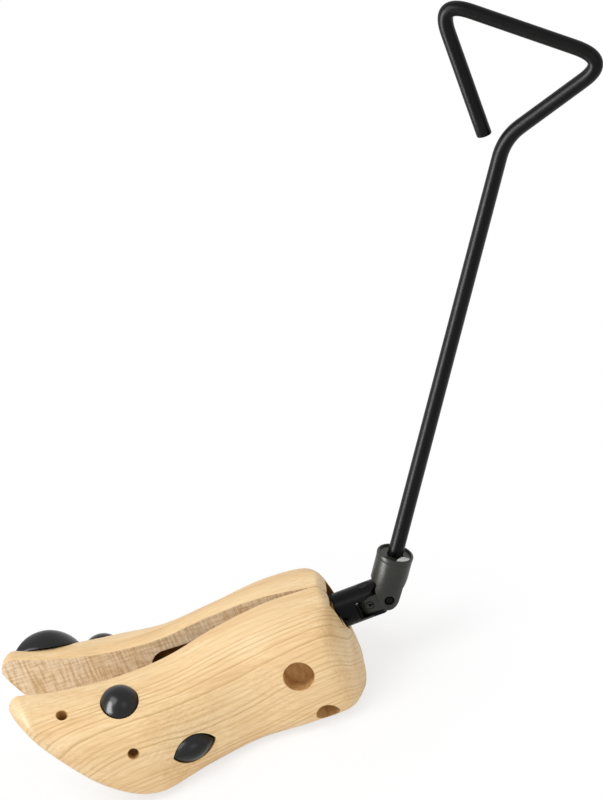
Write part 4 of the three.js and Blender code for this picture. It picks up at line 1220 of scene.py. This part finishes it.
NODE_SMOOTHING = 35.0
NODE_EDGE = 0.4
NODE_FINISH = {
    "yoke_pin": dark_black,
    "yoke_cross_pin": dark_black,
    "roll_pin": satin_black,
    "expander_nut": brass,
    "front_thrust_washer": brass,
    "rear_thrust_washer": brass,
    "upper_hinge_pin": bright,
    "lower_hinge_pin": bright,
    "left_drive_pin": bright,
    "right_drive_pin": bright,
}
FINE_NODES = ("expander_nut", "bearing_block", "yoke_pin", "yoke_cross_pin", "roll_pin")

for node_name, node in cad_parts.items():
    if node.hide_render:
        continue
    node.data.materials.clear()
    node.data.materials.append(NODE_FINISH.get(node_name, zinc))
    smooth(node, NODE_SMOOTHING)
    if node_name in FINE_NODES:
        ease_edges(node, NODE_EDGE)


# Stage, light and camera

FLOOR_REACH = 30.0
FLOOR_COLOUR = (0.9, 0.9, 0.9, 1.0)
FLOOR_WHITE = 0.72
FLOOR_WHITE_FROM = (0.1, 0.22)
FLOOR_CENTRE = (-0.12, -0.02, 0.0)
SKY_LIGHT = 0.6
LAMP_AIM = (-0.06, 0.0, 0.1)
LAMPS = {
    "key_softbox": {"place": (-1.0, -0.6, 2.0), "size": (1.6, 1.2), "watts": 31.0},
    "side_strip": {"place": (-1.25, -0.5, 0.35), "size": (0.6, 1.8), "watts": 64.0},
    "front_fill": {"place": (0.8, -1.7, 1.0), "size": (1.0, 1.0), "watts": 3.0},
}


def seen_directly(tree):
    """1 for rays from the camera or off a glossy or clear surface, 0 for rays that light the object."""
    path = add(tree, "ShaderNodeLightPath")
    bounced = maths(tree, "MAXIMUM", path.outputs["Is Glossy Ray"], path.outputs["Is Transmission Ray"])
    return maths(tree, "MAXIMUM", path.outputs["Is Camera Ray"], bounced)


def make_stage():
    """Pale floor that takes the object's shadow and fades to white away from it."""
    corners = [(x * FLOOR_REACH, y * FLOOR_REACH, 0.0) for x, y in ((-1, -1), (1, -1), (1, 1), (-1, 1))]
    floor = make_object("floor", mesh_from("floor", corners, [(0, 1, 2, 3)]))
    material, tree, shader = new_material("floor_paper")
    fill(tree, shader, {"Base Color": FLOOR_COLOUR, "Roughness": 0.9, "Specular IOR Level": 0.0})
    white = add(tree, "ShaderNodeEmission", {"Strength": 1.0})
    ends = {0: object_place(tree), 1: FLOOR_CENTRE}
    away = add(tree, "ShaderNodeVectorMath", ends, operation="DISTANCE")
    whiteness = map_range(tree, away.outputs["Value"], FLOOR_WHITE_FROM, (FLOOR_WHITE, 1.0))
    mixed = add(tree, "ShaderNodeMixShader", {
        "Fac": maths(tree, "MULTIPLY", seen_directly(tree), whiteness),
        1: shader.outputs["BSDF"],
        2: white.outputs["Emission"],
    })
    fill(tree, tree.nodes["Material Output"], {"Surface": mixed.outputs["Shader"]})
    floor.data.materials.append(material)


def area_light(name, place, size, watts):
    data = bpy.data.lights.new(name, "AREA")
    data.shape = "RECTANGLE"
    data.size, data.size_y = size
    data.energy = watts
    obj = make_object(name, data)
    obj.location = place
    obj.rotation_euler = (Vector(LAMP_AIM) - Vector(place)).to_track_quat("-Z", "Y").to_euler()
    return obj


def make_light():
    """White surroundings that light softly, and lamps of which the strip shows in reflections only."""
    world = bpy.data.worlds.new("studio")
    bpy.context.scene.world = world
    world.use_nodes = True
    tree = world.node_tree
    strength = map_range(tree, seen_directly(tree), WHOLE_RANGE, (SKY_LIGHT, 1.0))
    fill(tree, tree.nodes["Background"], {"Color": WHITE, "Strength": strength})
    lamps = {name: area_light(name, **lamp) for name, lamp in LAMPS.items()}
    lamps["side_strip"].visible_diffuse = False


def make_camera():
    """Camera at the photograph's viewing angle, rolled as the picture is."""
    back = Vector((
        math.sin(VIEW_AZIMUTH) * math.cos(VIEW_ELEVATION),
        -math.cos(VIEW_AZIMUTH) * math.cos(VIEW_ELEVATION),
        math.sin(VIEW_ELEVATION),
    ))
    level_right = Vector((math.cos(VIEW_AZIMUTH), math.sin(VIEW_AZIMUTH), 0.0))
    level_up = back.cross(level_right)
    right = level_right * math.cos(VIEW_ROLL) - level_up * math.sin(VIEW_ROLL)
    up = level_right * math.sin(VIEW_ROLL) + level_up * math.cos(VIEW_ROLL)
    offset_right = (IMAGE_WIDTH / 2 - HINGE_PIXEL[0]) / PIXELS_PER_MM * MM
    offset_up = (HINGE_PIXEL[1] - IMAGE_HEIGHT / 2) / PIXELS_PER_MM * MM
    aim = hinge + right * offset_right + up * offset_up
    place = hinge + back * CAMERA_DISTANCE
    back = (place - aim).normalized()
    right = (right - back * right.dot(back)).normalized()
    up = back.cross(right)
    data = bpy.data.cameras.new("camera")
    data.sensor_fit = "AUTO"
    data.sensor_width = SENSOR_WIDTH
    data.lens = SENSOR_WIDTH * CAMERA_DISTANCE / (IMAGE_HEIGHT / PIXELS_PER_MM * MM)
    data.clip_end = CAMERA_CLIP_END
    camera = make_object("camera", data)
    rotation = Matrix((right, up, back)).transposed().to_4x4()
    camera.matrix_world = Matrix.Translation(place) @ rotation
    bpy.context.scene.camera = camera


make_stage()
make_light()
make_camera()
bpy.context.scene.view_settings.view_transform = "Standard"
